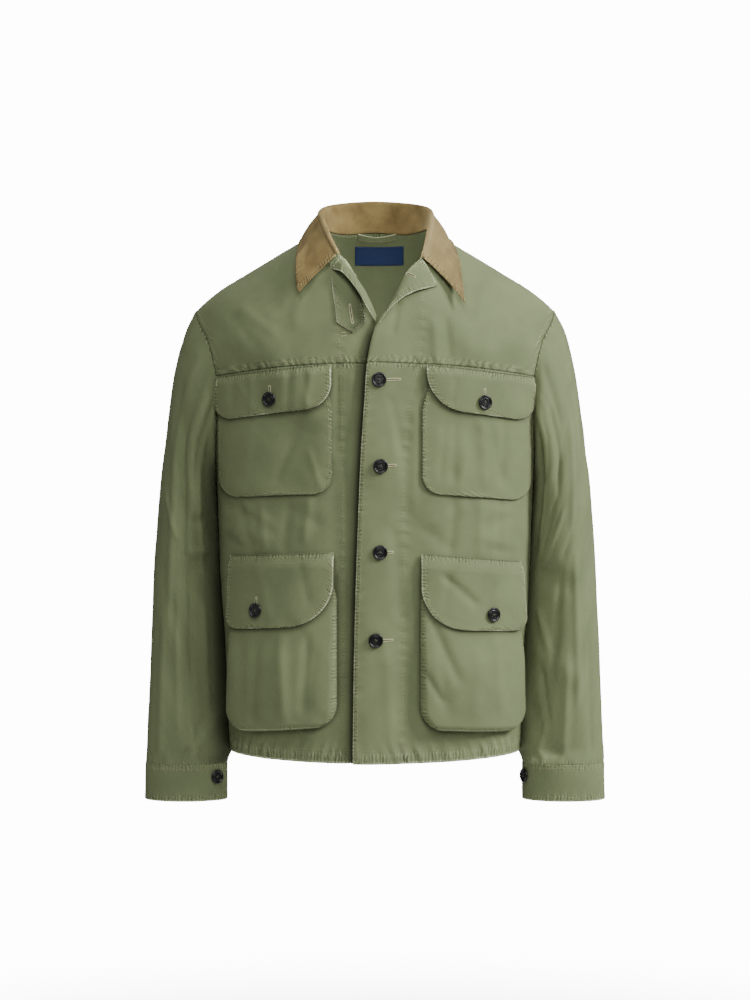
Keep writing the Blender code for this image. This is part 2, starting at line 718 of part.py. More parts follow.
def clear_of_body(points, gap):
    """Moves points that are too near the body's smooth form straight out of it."""
    x, y, z = points[..., 0], points[..., 1], points[..., 2]
    side = np.where(y < RIDGE_Y, -1.0, 1.0)
    depth = np.where(side < 0, along(BODY, "height", "front", z), along(BODY, "height", "back", z))
    width = along(BODY, "height", "half_width", z)
    depth = depth * (1 - np.clip(np.abs(x) / width, 0, 0.99) ** SQUARENESS) ** (1 / SQUARENESS)
    deep = np.abs(y - RIDGE_Y) / depth
    high = 1 - np.minimum((shoulder_line(x) - z) / ROUND, 1)
    reach = np.hypot(deep, high)
    scale = np.hypot(deep * depth, high * ROUND) / np.maximum(reach, 1e-6)
    grow = np.maximum(1 + gap / scale, reach) / reach
    y = RIDGE_Y + side * deep * grow * depth
    z = np.where(high > 0, shoulder_line(x) - ROUND * (1 - high * grow), z)
    return np.stack([x, y, z], -1)


def collar_grid(neck, shares):
    """The collar: up from the neckline, over a round fold and down to its outer edge."""
    get = {name: along(COLLAR, "share", name, shares) for name in COLLAR}
    fold = np.stack([get["fold_x"], get["fold_y"], get["fold_z"]], -1)
    edge = np.stack([get["edge_x"], get["edge_y"], get["edge_z"]], -1)
    seam = resample(neck, shares)
    run = unit(np.gradient(fold, axis=0))
    outward = edge - fold
    outward = unit(outward - run * np.sum(outward * run, -1, keepdims=True))
    flat = outward * [1, 1, 0.15]
    flat = unit(flat - run * np.sum(flat * run, -1, keepdims=True))
    up = unit(np.cross(run, flat))
    up = up * np.sign(up[:, 2] - up[:, 1] * 0.5)[:, None]
    roll = get["roll"][:, None]
    heart = fold + flat * roll - up * roll
    rows = []
    base = heart - flat * roll
    seam = seam + np.array([0, 0, COLLAR_SEAM_RISE])
    ending = soft((np.abs(shares - 0.5) - 0.41) / 0.09)[:, None]
    seam = mix(seam, base - up * STAND_AT_END, ending)
    for share in (0.0, 0.33, 0.67):
        rows.append(mix(seam, base, share))
    for turn in np.radians([180, 135, 90, 45, 0]):
        rows.append(heart + roll * (math.cos(turn) * flat + math.sin(turn) * up))
    start = heart + flat * roll
    for share in (0.25, 0.5, 0.75, 1.0):
        bow = flat * COLLAR_BOW * math.sin(math.pi * share)
        rows.append(mix(start, edge, share) + bow * (1 - 0.5 * share))
    grid = np.stack(rows)
    fall = len(rows) - len(COLLAR_CLEAR)
    gap = COLLAR_CLEAR[:, None] + COLLAR_CLEAR_FRONT * (np.abs(shares - 0.5) > 0.34)
    grid[fall:] = clear_of_body(grid[fall:], gap)
    return grid


def make_collar(neck):
    shares = np.array([0, 0.04, 0.09, 0.14, 0.19, 0.235, 0.28, 0.32, 0.36, 0.41, 0.455, 0.5])
    shares = np.concatenate([shares, 1 - shares[-2::-1]])
    points = collar_grid(neck, shares)
    wall("collar", points, grid_normals(points), CORDUROY, TAN)


def make_lapel(name, hand, layer):
    """A lapel: the front's facing turned out over the front, from its roll to its free edge."""
    rows = LAPEL[hand]
    shares = np.linspace(0, 1, 10)
    get = {key: along(rows, "share", key, shares)[:, None] for key in rows}
    across = np.array([0, 0.2, 0.5, 0.8, 1.0])[None, :]
    x = mix(get["roll_x"], get["edge_x"], across)
    z = mix(get["roll_z"], get["edge_z"], across)
    bow = LAPEL_ROLL * np.sin(math.pi * across) * (1 - soft((shares[:, None] - 0.7) / 0.3))
    points, _ = on_front(x, z, layer + LAPEL_STANDOFF[hand] + bow)
    wall(name, points, grid_normals(points), TWILL, OLIVE)


def make_throat_tab():
    shares = np.array([0, 0.17, 0.35, 0.55, 0.75, 0.88, 1.0])
    get = {key: along(THROAT_TAB, "share", key, shares)[:, None] for key in THROAT_TAB}
    across = np.linspace(0, 1, 5)[None, :]
    x = mix(get["left_x"], get["right_x"], across)
    z = mix(get["left_z"], get["right_z"], across)
    points, normals = on_front(x, z, LAYER)
    wall("throat_tab", points, normals, TWILL, OLIVE)


# ------------------------------------------------------------------ patches: pockets and flaps
def patch_plan(size, columns, rows):
    """Places in the front view of a patch with straight sides and rounded lower corners."""
    left, right = size["x"]
    low = size["low"]
    top = size["top"]
    share, down = np.meshgrid(columns, rows)
    height = mix(top[0], top[1], share) - mix(low[0], low[1], share)
    z = mix(top[0], top[1], share) - height * down
    above = height * (1 - down)
    inset = []
    for radius in size["corner"]:
        short = np.clip(radius - above, 0, radius)
        inset.append(radius - np.sqrt(radius**2 - short**2))
    x = mix(left + inset[0], right - inset[1], share)
    return x, z, share, down


def patch_rows(height, corner, straight):
    """Rows down a patch: even at first, then closing up round its lower corners."""
    start = 1 - max(corner) / height
    turn = np.radians([0, 30, 52, 90])
    return np.concatenate([np.linspace(0, start, straight)[:-1], start + (1 - start) * np.sin(turn)])


def make_chest_pocket(name):
    size = PATCH[name]
    height = size["top"][0] - size["low"][0]
    rows = patch_rows(height, size["corner"], 5)
    x, z, _, _ = patch_plan(size, np.linspace(0, 1, 9), rows)
    points, normals = on_front(x, z, LAYER + PATCH_LIFT)
    wall(name, points, normals, TWILL, OLIVE)


def bare_front(x, z):
    """The front's own height over itself."""
    return 0 * x


def chest_out(x, z):
    """The chest pocket's height over the front, the same all over."""
    return LAYER + PATCH_LIFT + 0 * x


def hip_bulge(share, down):
    """How far a hip pocket's face stands off the front: more at the bottom and the inner side."""
    return POCKET_MOUTH + POCKET_BULGE * soft(down / 0.75) * (0.75 + 0.25 * np.sin(math.pi * share))


def hip_out(x, z, name):
    """The hip pocket's face height at a place of the front view."""
    size = PATCH[name]
    share = np.clip((x - size["x"][0]) / (size["x"][1] - size["x"][0]), 0, 1)
    top = mix(size["top"][0], size["top"][1], share)
    low = mix(size["low"][0], size["low"][1], share)
    return LAYER + PATCH_LIFT + hip_bulge(share, np.clip((top - z) / (top - low), 0, 1))


def make_hip_pocket(name):
    """A bellows pocket: a face that stands off the front on a gusset along its sides and foot."""
    size = PATCH[name]
    side = GUSSET / (size["x"][1] - size["x"][0])
    columns = np.concatenate([[0], np.linspace(side, 1 - side, 9), [1]])
    height = size["top"][0] - size["low"][0]
    rows = patch_rows(height, size["corner"], 6)
    x, z, share, down = patch_plan(size, columns, rows)
    edge = np.minimum(np.minimum(share, 1 - share) / side, (1 - down) / (1 - rows[-2]))
    out = LAYER + PATCH_LIFT + hip_bulge(share, down) * np.clip(edge, 0, 1)
    points, normals = on_front(x, z, out)
    wall(name, points, unit(grid_normals(points) + normals), TWILL, OLIVE)


def make_flap(name, under):
    """A flap sewn on above its pocket, lying over the pocket's top."""
    size = PATCH[name]
    height = size["top"][1] - size["low"][1]
    rows = patch_rows(height, size["corner"], 2)
    rows = np.concatenate([[0, FLAP_RISE / height], rows[rows > 1.4 * FLAP_RISE / height]])
    x, z, _, down = patch_plan(size, np.linspace(0, 1, 11), rows)
    over = under(x, z) + LAYER + FLAP_STANDOFF
    out = mix(LAYER + PATCH_LIFT, over, soft(down * height / FLAP_RISE))
    points, _ = on_front(x, z, out)
    wall(name, points, grid_normals(points), TWILL, OLIVE)


# ------------------------------------------------------------------ buttons
def make_button(name, centre, normal):
    """A turned button: a disc with a raised rim and a dished middle, standing on the cloth."""
    profile = table(
        "radius height",
        (0.0, 0.0),
        (8.2, 0.0),
        (BUTTON_RADIUS, 1.2),
        (BUTTON_RADIUS, 2.2),
        (8.4, BUTTON_THICKNESS),
        (6.6, 2.3),
        (0.0, 2.0),
    )
    steps = 14
    turn = 2 * math.pi * np.arange(steps) / steps
    normal = unit(np.asarray(normal))
    right = unit(np.cross([0, 0, 1.0], normal))
    up = np.cross(normal, right)
    ring = np.cos(turn)[:, None] * right + np.sin(turn)[:, None] * up
    points = [centre + normal * profile["height"][0]]
    for radius, height in zip(profile["radius"][1:-1], profile["height"][1:-1]):
        points.extend(centre + radius * ring + normal * height)
    points.append(centre + normal * profile["height"][-1])
    faces = []
    last = len(points) - 1
    rings = len(profile["radius"]) - 2
    for k in range(steps):
        after = (k + 1) % steps
        faces.append([0, 1 + after, 1 + k])
        for ring_number in range(rings - 1):
            base = 1 + ring_number * steps
            faces.append([base + k, base + after, base + steps + after, base + steps + k])
        base = 1 + (rings - 1) * steps
        faces.append([base + k, base + after, last])
    add_object(name, np.array(points), faces, BLACK, 0.35)


def button_on_front(name, x, z, under, over):
    """A button at a place of the front view, square to the surface that it is sewn through.

    That surface lies over above the one whose height the function under gives.
    """
    reach = 0.7 * BUTTON_RADIUS
    xs = x + reach * np.array([0, -1, 1, 0, 0])
    zs = z + reach * np.array([0, 0, 0, -1, 1])
    around, _ = on_front(xs, zs, under(xs, zs) + over)
    normal = unit(np.cross(around[2] - around[1], around[4] - around[3]))
    make_button(name, around.mean(0) + normal * (TWILL / 2 + BUTTON_STANDOFF), normal)


# ------------------------------------------------------------------ label and hanger loop
def make_label():
    x, z = np.meshgrid(np.linspace(*LABEL_SIZE["x"], 5), np.linspace(*LABEL_SIZE["z"][::-1], 3))
    inside = -(TWILL / 2 + SEAM + LABEL / 2 + LABEL_SIZE["inside"])
    points, normals = cloth_points(angle_of(x, z), lap_of(shoulder_line(x) - z), 1, 0, inside)
    wall("neck_label", points, -normals, LABEL, NAVY)


def make_hanger_loop():
    share, down = np.meshgrid(np.linspace(0, 1, 9), [0, 1])
    bow = np.sin(math.pi * share)
    x = mix(*LOOP_SIZE["x"], share)
    z = mix(LOOP_SIZE["z"][1], LOOP_SIZE["z"][0], down) - LOOP_SIZE["drop"] * bow
    inside = -(TWILL / 2 + SEAM + LOOP_SIZE["inside"]) - LOOP_SIZE["stand"] * bow
    points, normals = cloth_points(angle_of(x, z), lap_of(shoulder_line(x) - z), 1, 0, inside)
    wall("hanger_loop", points, -normals, LOOP_SIZE["wall"], OLIVE)


# ------------------------------------------------------------------ the jacket
def main():
    for old in list(bpy.data.objects):
        bpy.data.objects.remove(old, do_unlink=True)
    hands = {"left": -1, "right": 1}
    yokes = {}
    fronts = {}
    back = back_panel()
    wall("back", *back, TWILL, OLIVE)
    for word, hand in hands.items():
        yokes[hand] = yoke_panel(hand)
        fronts[hand] = front_panel(hand)
        wall(f"yoke_{word}", *yokes[hand], TWILL, OLIVE)
        wall(f"front_{word}", *fronts[hand], TWILL, OLIVE)
        loop = armhole_loop(yokes[hand], fronts[hand], back, hand)
        make_sleeve(f"sleeve_{word}", loop, hand)
        make_cuff(word, hand)
        make_chest_pocket(f"chest_pocket_{word}")
        make_flap(f"chest_flap_{word}", chest_out)
        hip = f"hip_pocket_{word}"
        make_hip_pocket(hip)
        over_hip = functools.partial(hip_out, name=hip)
        make_flap(f"hip_flap_{word}", over_hip)
        x, z = CHEST_BUTTONS[word]
        button_on_front(f"button_chest_{word}", x, z, chest_out, LAYER + FLAP_STANDOFF)
        x, z = HIP_BUTTONS[word]
        button_on_front(f"button_hip_{word}", x, z, over_hip, LAYER + FLAP_STANDOFF)
    for number, x, z in zip(*FRONT_BUTTONS.values()):
        button_on_front(f"button_front_{int(number)}", x, z, bare_front, 0.0)
    make_throat_tab()
    make_lapel("lapel_left", -1, 2 * LAYER)
    make_lapel("lapel_right", 1, LAYER)
    make_collar(neck_line(yokes, back))
    make_label()
    make_hanger_loop()


main()
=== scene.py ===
"""The looks of an olive cotton twill shirt jacket with a tan corduroy collar.

It is filled out as if worn, with nobody in it. Sizes are in millimetres and become metres when a
mesh is made. X runs to the right as one looks at the front, Y to the back and Z up, and the origin
is the middle of the neck. Left and right are as seen from the front.
"""

import math

import bpy
import numpy as np
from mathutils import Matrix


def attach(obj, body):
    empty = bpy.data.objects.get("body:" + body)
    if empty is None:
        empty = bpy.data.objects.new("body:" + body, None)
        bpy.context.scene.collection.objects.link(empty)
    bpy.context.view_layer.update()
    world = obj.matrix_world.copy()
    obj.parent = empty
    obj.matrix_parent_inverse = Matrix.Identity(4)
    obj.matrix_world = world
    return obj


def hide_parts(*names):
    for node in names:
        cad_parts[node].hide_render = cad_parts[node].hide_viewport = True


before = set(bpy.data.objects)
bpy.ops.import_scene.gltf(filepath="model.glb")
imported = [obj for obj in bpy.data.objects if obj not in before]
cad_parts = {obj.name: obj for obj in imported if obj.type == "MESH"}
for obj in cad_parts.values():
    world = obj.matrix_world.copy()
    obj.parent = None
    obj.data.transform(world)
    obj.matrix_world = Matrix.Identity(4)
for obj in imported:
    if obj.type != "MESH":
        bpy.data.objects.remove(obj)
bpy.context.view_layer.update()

# ================================================================== the camera
# The picture was taken level with the middle of the jacket, square to its front and from far
# enough away that both sleeves are seen almost straight on.
MM = 0.001
CAMERA_AWAY = 3000.0
CAMERA_HEIGHT = -364.5
PICTURE_ROWS = 1000
PIXEL = 1.35  # millimetres that one pixel of the picture covers at the jacket
FILM = 24.0
lens = bpy.data.cameras.new("camera")
lens.sensor_fit = "VERTICAL"
lens.sensor_height = FILM
lens.lens = FILM * CAMERA_AWAY / (PIXEL * PICTURE_ROWS)
camera = bpy.data.objects.new("camera", lens)
camera.location = (0, -CAMERA_AWAY * MM, CAMERA_HEIGHT * MM)
camera.rotation_euler = (math.pi / 2, 0, 0)
bpy.context.scene.collection.objects.link(camera)
bpy.context.scene.camera = camera

# ================================================================== the back
# One piece of cotton twill from the shoulder seams and the neckline to the hem. It comes a little
# over the shoulders, is sewn to the fronts at the sides, and its hem is turned up and stitched.
SQUARENESS = 2.3
REPEATS = 30  # times to repeat where height and width depend on each other
ROUND = 140.0  # the shoulder takes this far to round over to the straight front and back
RIDGE_Y = 5.0
SHOULDER_SLOPE = 0.62
NECK_ROUND = 40.0
NECK_EVEN = 80.6
SHOULDER_TIP_FROM = 200.0
SHOULDER_TIP_DROP = 8.2
SHOULDER_TIP_WIDTH = 41.0
SHOULDER_WRAP = math.radians(6)
ARMPIT = -325.0
HEM_MIDDLE = -707.0
HEM_SIDE_RISE = 7.0
HEM_WIDTH = 194.0
NECK_SHARE = 0.2
NECK_BACK_LAP = math.radians(38.5)
TWILL_WALL = 1.4
CREASE_GAIN = 1.25
BACK_GAIN = 1.5  # the back hangs looser than its solid: its folds are this much deeper
HEM_STITCH = 17.0  # the hem's stitching runs this far above its edge


def table(names, *rows):
    """A short table: each named column as an array, in the order of the names."""
    return dict(zip(names.split(), np.array(rows, float).T))


BODY = table(
    "height half_width front back",
    (60, 274, 96, 128),
    (0, 270, 100, 126),
    (-60, 266, 110, 123),
    (-110, 262, 119, 121),
    (-150, 246, 125, 120),
    (-200, 232, 130, 119),
    (-240, 225, 131, 117),
    (-280, 219, 131, 115),
    (-325, 214, 130, 113),
    (-430, 209, 127, 110),
    (-550, 202, 123, 109),
    (-707, 194, 120, 108),
)
ARMHOLE = table(
    "height front_x back_x",
    (60, 241, 241),
    (-100, 241, 241),
    (-112, 240.5, 240.5),
    (-128, 235, 236.5),
    (-150, 223, 228),
    (-176, 214.5, 219),
    (-203, 210.5, 214),
    (-238, 209.5, 211),
    (-280, 211, 211),
    (-310, 213.5, 213.5),
    (-325, 216, 216),
    (-800, 216, 216),
)
# Soft folds from one point of the front view to another; face is -1 at the front, 1 at the back.
FOLDS = table(
    "face x1 z1 x2 z2 width depth",
    (-1, -200, -135, -120, -185, 24, 3.0),
    (-1, -192, -182, -100, -290, 30, -3.4),
    (-1, 200, -140, 120, -180, 26, 3.0),
    (-1, 190, -180, 110, -285, 30, -3.0),
    (-1, -92, -262, -132, -350, 28, -4.0),
    (-1, -150, -380, -176, -420, 28, 3.0),
    (-1, 38, -230, 44, -690, 20, -2.4),
    (-1, -42, -250, -44, -690, 18, -2.6),
    (-1, 170, -375, 160, -425, 28, 3.0),
    (-1, -140, -560, -150, -690, 34, 2.6),
    (-1, 140, -560, 150, -690, 34, 2.6),
    (-1, 130, -60, 120, -130, 24, -2.4),
    (1, -150, -120, -60, -240, 24, 3.2),
    (1, 150, -120, 60, -240, 24, 3.2),
    (1, -180, -230, -120, -380, 20, -3.6),
    (1, 180, -230, 125, -370, 20, -3.6),
    (1, -60, -420, -70, -690, 26, 3.6),
    (1, 40, -400, 60, -690, 24, -3.2),
    (1, 130, -480, 140, -690, 22, 3.0),
    (1, -150, -460, -145, -690, 22, -3.0),
)
# Smaller creases between them, which only these thin cloths show.
CREASES = table(
    "face x1 z1 x2 z2 width depth",
    (-1, -190, -120, -150, -170, 9, -1.3),
    (-1, -176, -112, -128, -150, 8, 1.0),
    (-1, 192, -122, 150, -165, 9, -1.2),
    (-1, 150, -70, 132, -128, 9, 1.3),
    (-1, 112, -52, 104, -110, 8, -1.1),
    (-1, -120, -48, -132, -118, 10, -1.2),
    (-1, -96, -70, -104, -140, 9, 1.0),
    (-1, -30, -215, -36, -330, 6, -1.4),
    (-1, -44, -330, -38, -470, 7, 1.3),
    (-1, -34, -480, -42, -640, 6, -1.5),
    (-1, 22, -235, 30, -350, 7, 1.2),
    (-1, 52, -250, 50, -380, 7, 1.1),
    (-1, 24, -400, 33, -520, 7, -1.2),
    (-1, 48, -470, 52, -600, 8, 1.3),
    (-1, 14, -560, 22, -690, 7, 1.2),
    (-1, -196, -372, -150, -392, 8, -1.4),
    (-1, -186, -400, -130, -418, 9, 1.2),
    (-1, -110, -372, -70, -400, 9, -1.2),
    (-1, 192, -380, 140, -400, 9, -1.4),
    (-1, 120, -372, 76, -396, 9, 1.1),
    (-1, 60, -400, 100, -430, 8, -1.0),
    (-1, -187, -202, -185, -246, 5, -1.2),
    (-1, -161, -202, -158, -256, 5, 1.4),
    (-1, -109, -196, -112, -250, 5, -1.5),
    (-1, -83, -196, -88, -246, 5, 1.3),
    (-1, -48, -200, -50, -300, 5, -1.4),
    (-1, -30, -200, -33, -270, 4, 1.2),
    (-1, -180, -364, -160, -430, 7, -2.0),
    (-1, -148, -370, -143, -432, 6, 1.7),
    (-1, -111, -366, -118, -430, 6, -1.8),
    (-1, -85, -362, -92, -420, 6, 1.6),
    (-1, -178, -545, -172, -650, 7, 1.5),
    (-1, -147, -550, -150, -655, 6, -1.8),
    (-1, -117, -545, -112, -650, 7, 1.7),
    (-1, -85, -545, -90, -640, 6, -1.7),
    (-1, -150, -672, -140, -705, 5, 1.3),
    (-1, -96, -668, -104, -704, 5, -1.3),
    (-1, 30, -105, 22, -150, 5, -1.6),
    (-1, 76, -130, 80, -184, 6, 1.5),
    (-1, 92, -128, 98, -184, 6, -1.4),
    (-1, 20, -232, 33, -300, 6, -1.6),
    (-1, 104, -262, 100, -340, 7, -1.4),
    (-1, 138, -262, 141, -345, 7, 1.4),
    (-1, 168, -262, 165, -340, 6, -1.4),
    (-1, 104, -366, 98, -432, 7, -1.8),
    (-1, 138, -366, 136, -436, 7, 1.6),
    (-1, 166, -366, 160, -436, 6, -1.6),
    (-1, 87, -462, 130, -501, 6, -2.2),
    (-1, 72, -520, 104, -600, 7, -2.4),
    (-1, 64, -590, 84, -626, 5, -1.8),
    (-1, 150, -540, 152, -640, 7, 1.9),
    (-1, 176, -540, 172, -640, 6, -1.7),
    (-1, 90, -672, 98, -704, 5, 1.3),
    (-1, 140, -668, 134, -704, 5, -1.3),
    (1, -205, -150, -140, -190, 9, 1.6),
    (1, 205, -160, 145, -205, 9, 1.6),
    (1, -200, -260, -150, -330, 8, 1.6),
    (1, 198, -255, 150, -320, 8, 1.5),
    (1, -196, -320, -140, -420, 9, -1.6),
    (1, 194, -330, 150, -440, 9, -1.5),
    (1, -30, -90, -50, -210, 12, -1.6),
    (1, 36, -80, 44, -230, 12, 1.5),
    (1, -100, -300, -112, -520, 10, 1.6),
    (1, -20, -330, -10, -560, 11, -1.7),
    (1, 92, -360, 84, -600, 10, -1.7),
    (1, 20, -480, 26, -690, 9, 1.5),
    (1, -104, -520, -110, -695, 9, -1.6),
    (1, 164, -540, 166, -695, 8, -1.4),
    (1, -176, -560, -172, -695, 8, 1.4),
)


def along(rows, key, value, at):
    """A smooth curve through a table's column: a cubic in each gap, with the slopes of its neighbours."""
    xs = rows[key]
    ys = rows[value]
    if xs[0] > xs[-1]:
        xs = xs[::-1]
        ys = ys[::-1]
    slope = np.gradient(ys, xs)
    at = np.clip(at, xs[0], xs[-1])
    left = np.clip(np.searchsorted(xs, at) - 1, 0, len(xs) - 2)
    span = xs[left + 1] - xs[left]
    t = (at - xs[left]) / span
    return (
        ys[left] * (2 * t**3 - 3 * t**2 + 1)
        + ys[left + 1] * (3 * t**2 - 2 * t**3)
        + slope[left] * span * (t**3 - 2 * t**2 + t)
        + slope[left + 1] * span * (t**3 - t**2)
    )


def soft(t):
    """0 below 0, 1 above 1, and between them 3 t squared less 2 t cubed."""
    t = np.clip(t, 0, 1)
    return t * t * (3 - 2 * t)


def mix(a, b, t):
    """a at t = 0, b at t = 1, and a straight line between."""
    return a + (b - a) * t


def unit(v):
    """Vectors divided by their own lengths."""
    return v / np.maximum(np.linalg.norm(v, axis=-1, keepdims=True), 1e-9)


def signed_power(v, power):
    """The size of v to a power, with the sign of v."""
    return np.sign(v) * np.abs(v) ** power


def shoulder_line(x):
    """Height of the shoulder ridge: a slope times a hyperbola over the neck, less a square at its tip."""
    tip = np.maximum(np.abs(x) - SHOULDER_TIP_FROM, 0) / SHOULDER_TIP_WIDTH
    return -SHOULDER_SLOPE * (np.hypot(x, NECK_ROUND) - NECK_EVEN) - SHOULDER_TIP_DROP * tip**2


def drop_of(lap):
    """How far below the ridge a lap lies: 1 less its cosine for a quarter turn, then straight on."""
    lap = np.abs(lap)
    return ROUND * np.where(lap < math.pi / 2, 1 - np.cos(lap), 1 + lap - math.pi / 2)


def lap_of(drop):
    """The lap that lies a drop below the ridge: the inverse of drop_of."""
    share = np.maximum(drop, 0) / ROUND
    return np.where(share < 1, np.arccos(np.clip(1 - share, -1, 1)), math.pi / 2 + share - 1)


def angle_of(x, z):
    """The angle round the body, 0 in the middle: arc sine of the share of the half width, to a power."""
    share = np.clip(np.abs(x) / along(BODY, "height", "half_width", z), 0, 1)
    return np.sign(x) * np.arcsin(share ** (SQUARENESS / 2))


def body_point(angle, lap, face):
    """A point of the smooth body: a squared ellipse at each height, rounded over at the shoulders.

    x is the half width there times the sine of the angle to the power 2 / squareness, and y the
    depth times the same power of its cosine, times the sine of the lap. Height and width depend on
    each other, so they are found together, by repeating.
    """
    z = np.full(np.broadcast(angle, lap).shape, -200.0)
    for _ in range(REPEATS):
        x = along(BODY, "height", "half_width", z) * signed_power(np.sin(angle), 2 / SQUARENESS)
        z = shoulder_line(x) - drop_of(lap)
    side = np.where(lap < 0, -face, face)
    depth = np.where(side < 0, along(BODY, "height", "front", z), along(BODY, "height", "back", z))
    depth = depth * np.abs(np.cos(angle)) ** (2 / SQUARENESS)
    y = RIDGE_Y + side * depth * np.sin(np.minimum(np.abs(lap), math.pi / 2))
    return np.stack([x, y, z], -1)


def body_normal(angle, lap, face):
    """The way out of the body: the cross product of small steps across and down it."""
    step = 1e-3
    inward = np.where(angle > 0, -step, step)
    across = body_point(angle, lap, face) - body_point(angle + inward, lap, face)
    across = across * np.sign(-inward)[..., None]
    down = body_point(angle, lap + step, face) - body_point(angle, lap - step, face)
    return unit(np.cross(across, down)) * face


def trough(x, z, x1, z1, x2, z2, width):
    """1 along a line, falling off beside it as a bell curve and fading towards both its ends."""
    length = math.hypot(x2 - x1, z2 - z1)
    along_line = ((x - x1) * (x2 - x1) + (z - z1) * (z2 - z1)) / length
    beside = ((x - x1) * (z2 - z1) - (z - z1) * (x2 - x1)) / length
    fade = soft(along_line / (0.3 * length) + 0.5) * soft((length - along_line) / (0.3 * length) + 0.5)
    return np.exp(-((beside / width) ** 2)) * fade


def folds(x, z, face):
    """Height of the folds and creases of one face: each depth times its trough, added up."""
    total = np.zeros(np.shape(x))
    for rows, gain in ((FOLDS, 1.0), (CREASES, CREASE_GAIN)):
        for side, x1, z1, x2, z2, width, depth in zip(*rows.values()):
            if side == face:
                total = total + gain * depth * trough(x, z, x1, z1, x2, z2, width)
    return total * (BACK_GAIN if face > 0 else 1.0)


def crumple(u, v, seed):
    """Unevenness of worn cloth, about -1 to 1: sines across each other, each bent by the one before."""
    a = np.sin(u / 17.0 + 1.3 * np.sin(v / 41.0 + seed) + seed)
    b = np.sin(v / 23.0 + 1.1 * a + 2.1 * seed)
    c = np.sin((u + v) / 31.0 + 0.9 * b + 0.7 * seed)
    return (0.3 * a + 0.35 * b + 0.35 * c) * (0.6 + 0.4 * np.sin(u / 67.0 - v / 53.0 + seed))


def cloth_points(angle, lap, face, lift=0.0):
    """Points of the cloth and the way out there: the body's, moved out by the folds and a lift."""
    point = body_point(angle, lap, face)
    normal = body_normal(angle, lap, face)
    rise = folds(point[..., 0], point[..., 2], face) + lift
    return point + normal * np.asarray(rise)[..., None], normal


def ways(points):
    """How far each point of a grid lies from its four sides, measured along the cloth."""
    down = np.linalg.norm(np.diff(points, axis=0), axis=-1)
    across = np.linalg.norm(np.diff(points, axis=1), axis=-1)
    down = np.concatenate([np.zeros((1, points.shape[1])), np.cumsum(down, 0)])
    across = np.concatenate([np.zeros((points.shape[0], 1)), np.cumsum(across, 1)], 1)
    return {"top": down, "bottom": down[-1:] - down, "left": across, "right": across[:, -1:] - across}


def ripple(s, pitch, seed):
    """Uneven waves along a seam, about -1 to 1: two sines of drifting pitch, times a slow swell."""
    drift = 1.4 * np.sin(s / (pitch * 1.7) + seed * 1.7) + 1.1 * np.sin(s / (pitch * 0.8) + seed * 0.6)
    swell = 0.6 + 0.4 * np.sin(s / (pitch * 1.3) + seed * 2.9)
    wave = 0.7 * np.sin(2 * math.pi * s / pitch + drift + seed)
    return swell * (wave + 0.3 * np.sin(3.9 * math.pi * s / pitch + 2 * drift))


def pucker(away, s, inset, reach, depth, pitch, seed):
    """Puckers along stitching at an inset from an edge: a ripple along it, slanted, fading off both ways."""
    near = np.exp(-(((away - inset) / reach) ** 2))
    return depth * near * ripple(s + 0.35 * away, pitch, seed)


def grid_normals(points, tube=False):
    """Normals of a grid of points: the cross product of its steps down and across."""
    if tube:
        across = np.roll(points, -1, 1) - np.roll(points, 1, 1)
    else:
        across = np.gradient(points, axis=1)
    return unit(np.cross(np.gradient(points, axis=0), across))


def lifted(points, normals, lift):
    """A grid moved along its normals by a lift, and the new normals."""
    points = points + normals * lift[..., None]
    return points, facing(grid_normals(points), normals)


def facing(normals, like):
    """The normals, turned so that on average they point the same way as others."""
    return normals * np.sign(np.sum(normals * like))


NO_SEAM = (0.0, 9.0, 0.0)
EDGE_WORN = 0.35  # how much more a folded edge is washed out


def seam_map(*bands):
    """Where the points of a cloth lie by its seams: along, across as a share of the band, and folded.

    Each band gives the distances from its seam, the lengths along it, its width, and folded: 1 at a
    folded edge, 0.5 at a seam between two pieces, 0 where stitching only holds what lies beneath.
    At each point the band counts in which it lies deepest.
    """
    shape = np.broadcast_shapes(*(np.shape(each) for band in bands for each in band))
    across = np.array([np.broadcast_to(away / width, shape) for away, _, width, _ in bands])
    run = np.array([np.broadcast_to(s * MM, shape) for _, s, _, _ in bands])
    folded = np.array([np.full(shape, float(fold)) for _, _, _, fold in bands])
    nearest = np.argmin(across, 0)[None]
    return np.stack([np.take_along_axis(each, nearest, 0)[0] for each in (run, across, folded)], -1)


def rounded(grid):
    """A grid with its first column again after its last."""
    return np.concatenate([grid, grid[:, :1]], 1)


def quads(number):
    """The faces between the rows and columns of a grid of point numbers."""
    return np.stack([number[:-1, :-1], number[1:, :-1], number[1:, 1:], number[:-1, 1:]], -1).reshape(-1, 4)


def new_piece(name, points, faces, *finishes):
    """An object of points in millimetres and faces between them, smooth, that rides on the jacket."""
    mesh = bpy.data.meshes.new(name)
    mesh.from_pydata((points * MM).tolist(), [], faces)
    mesh.shade_smooth()
    for finish in finishes:
        mesh.materials.append(finish)
    piece = bpy.data.objects.new(name, mesh)
    bpy.context.scene.collection.objects.link(piece)
    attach(piece, "root")
    return piece


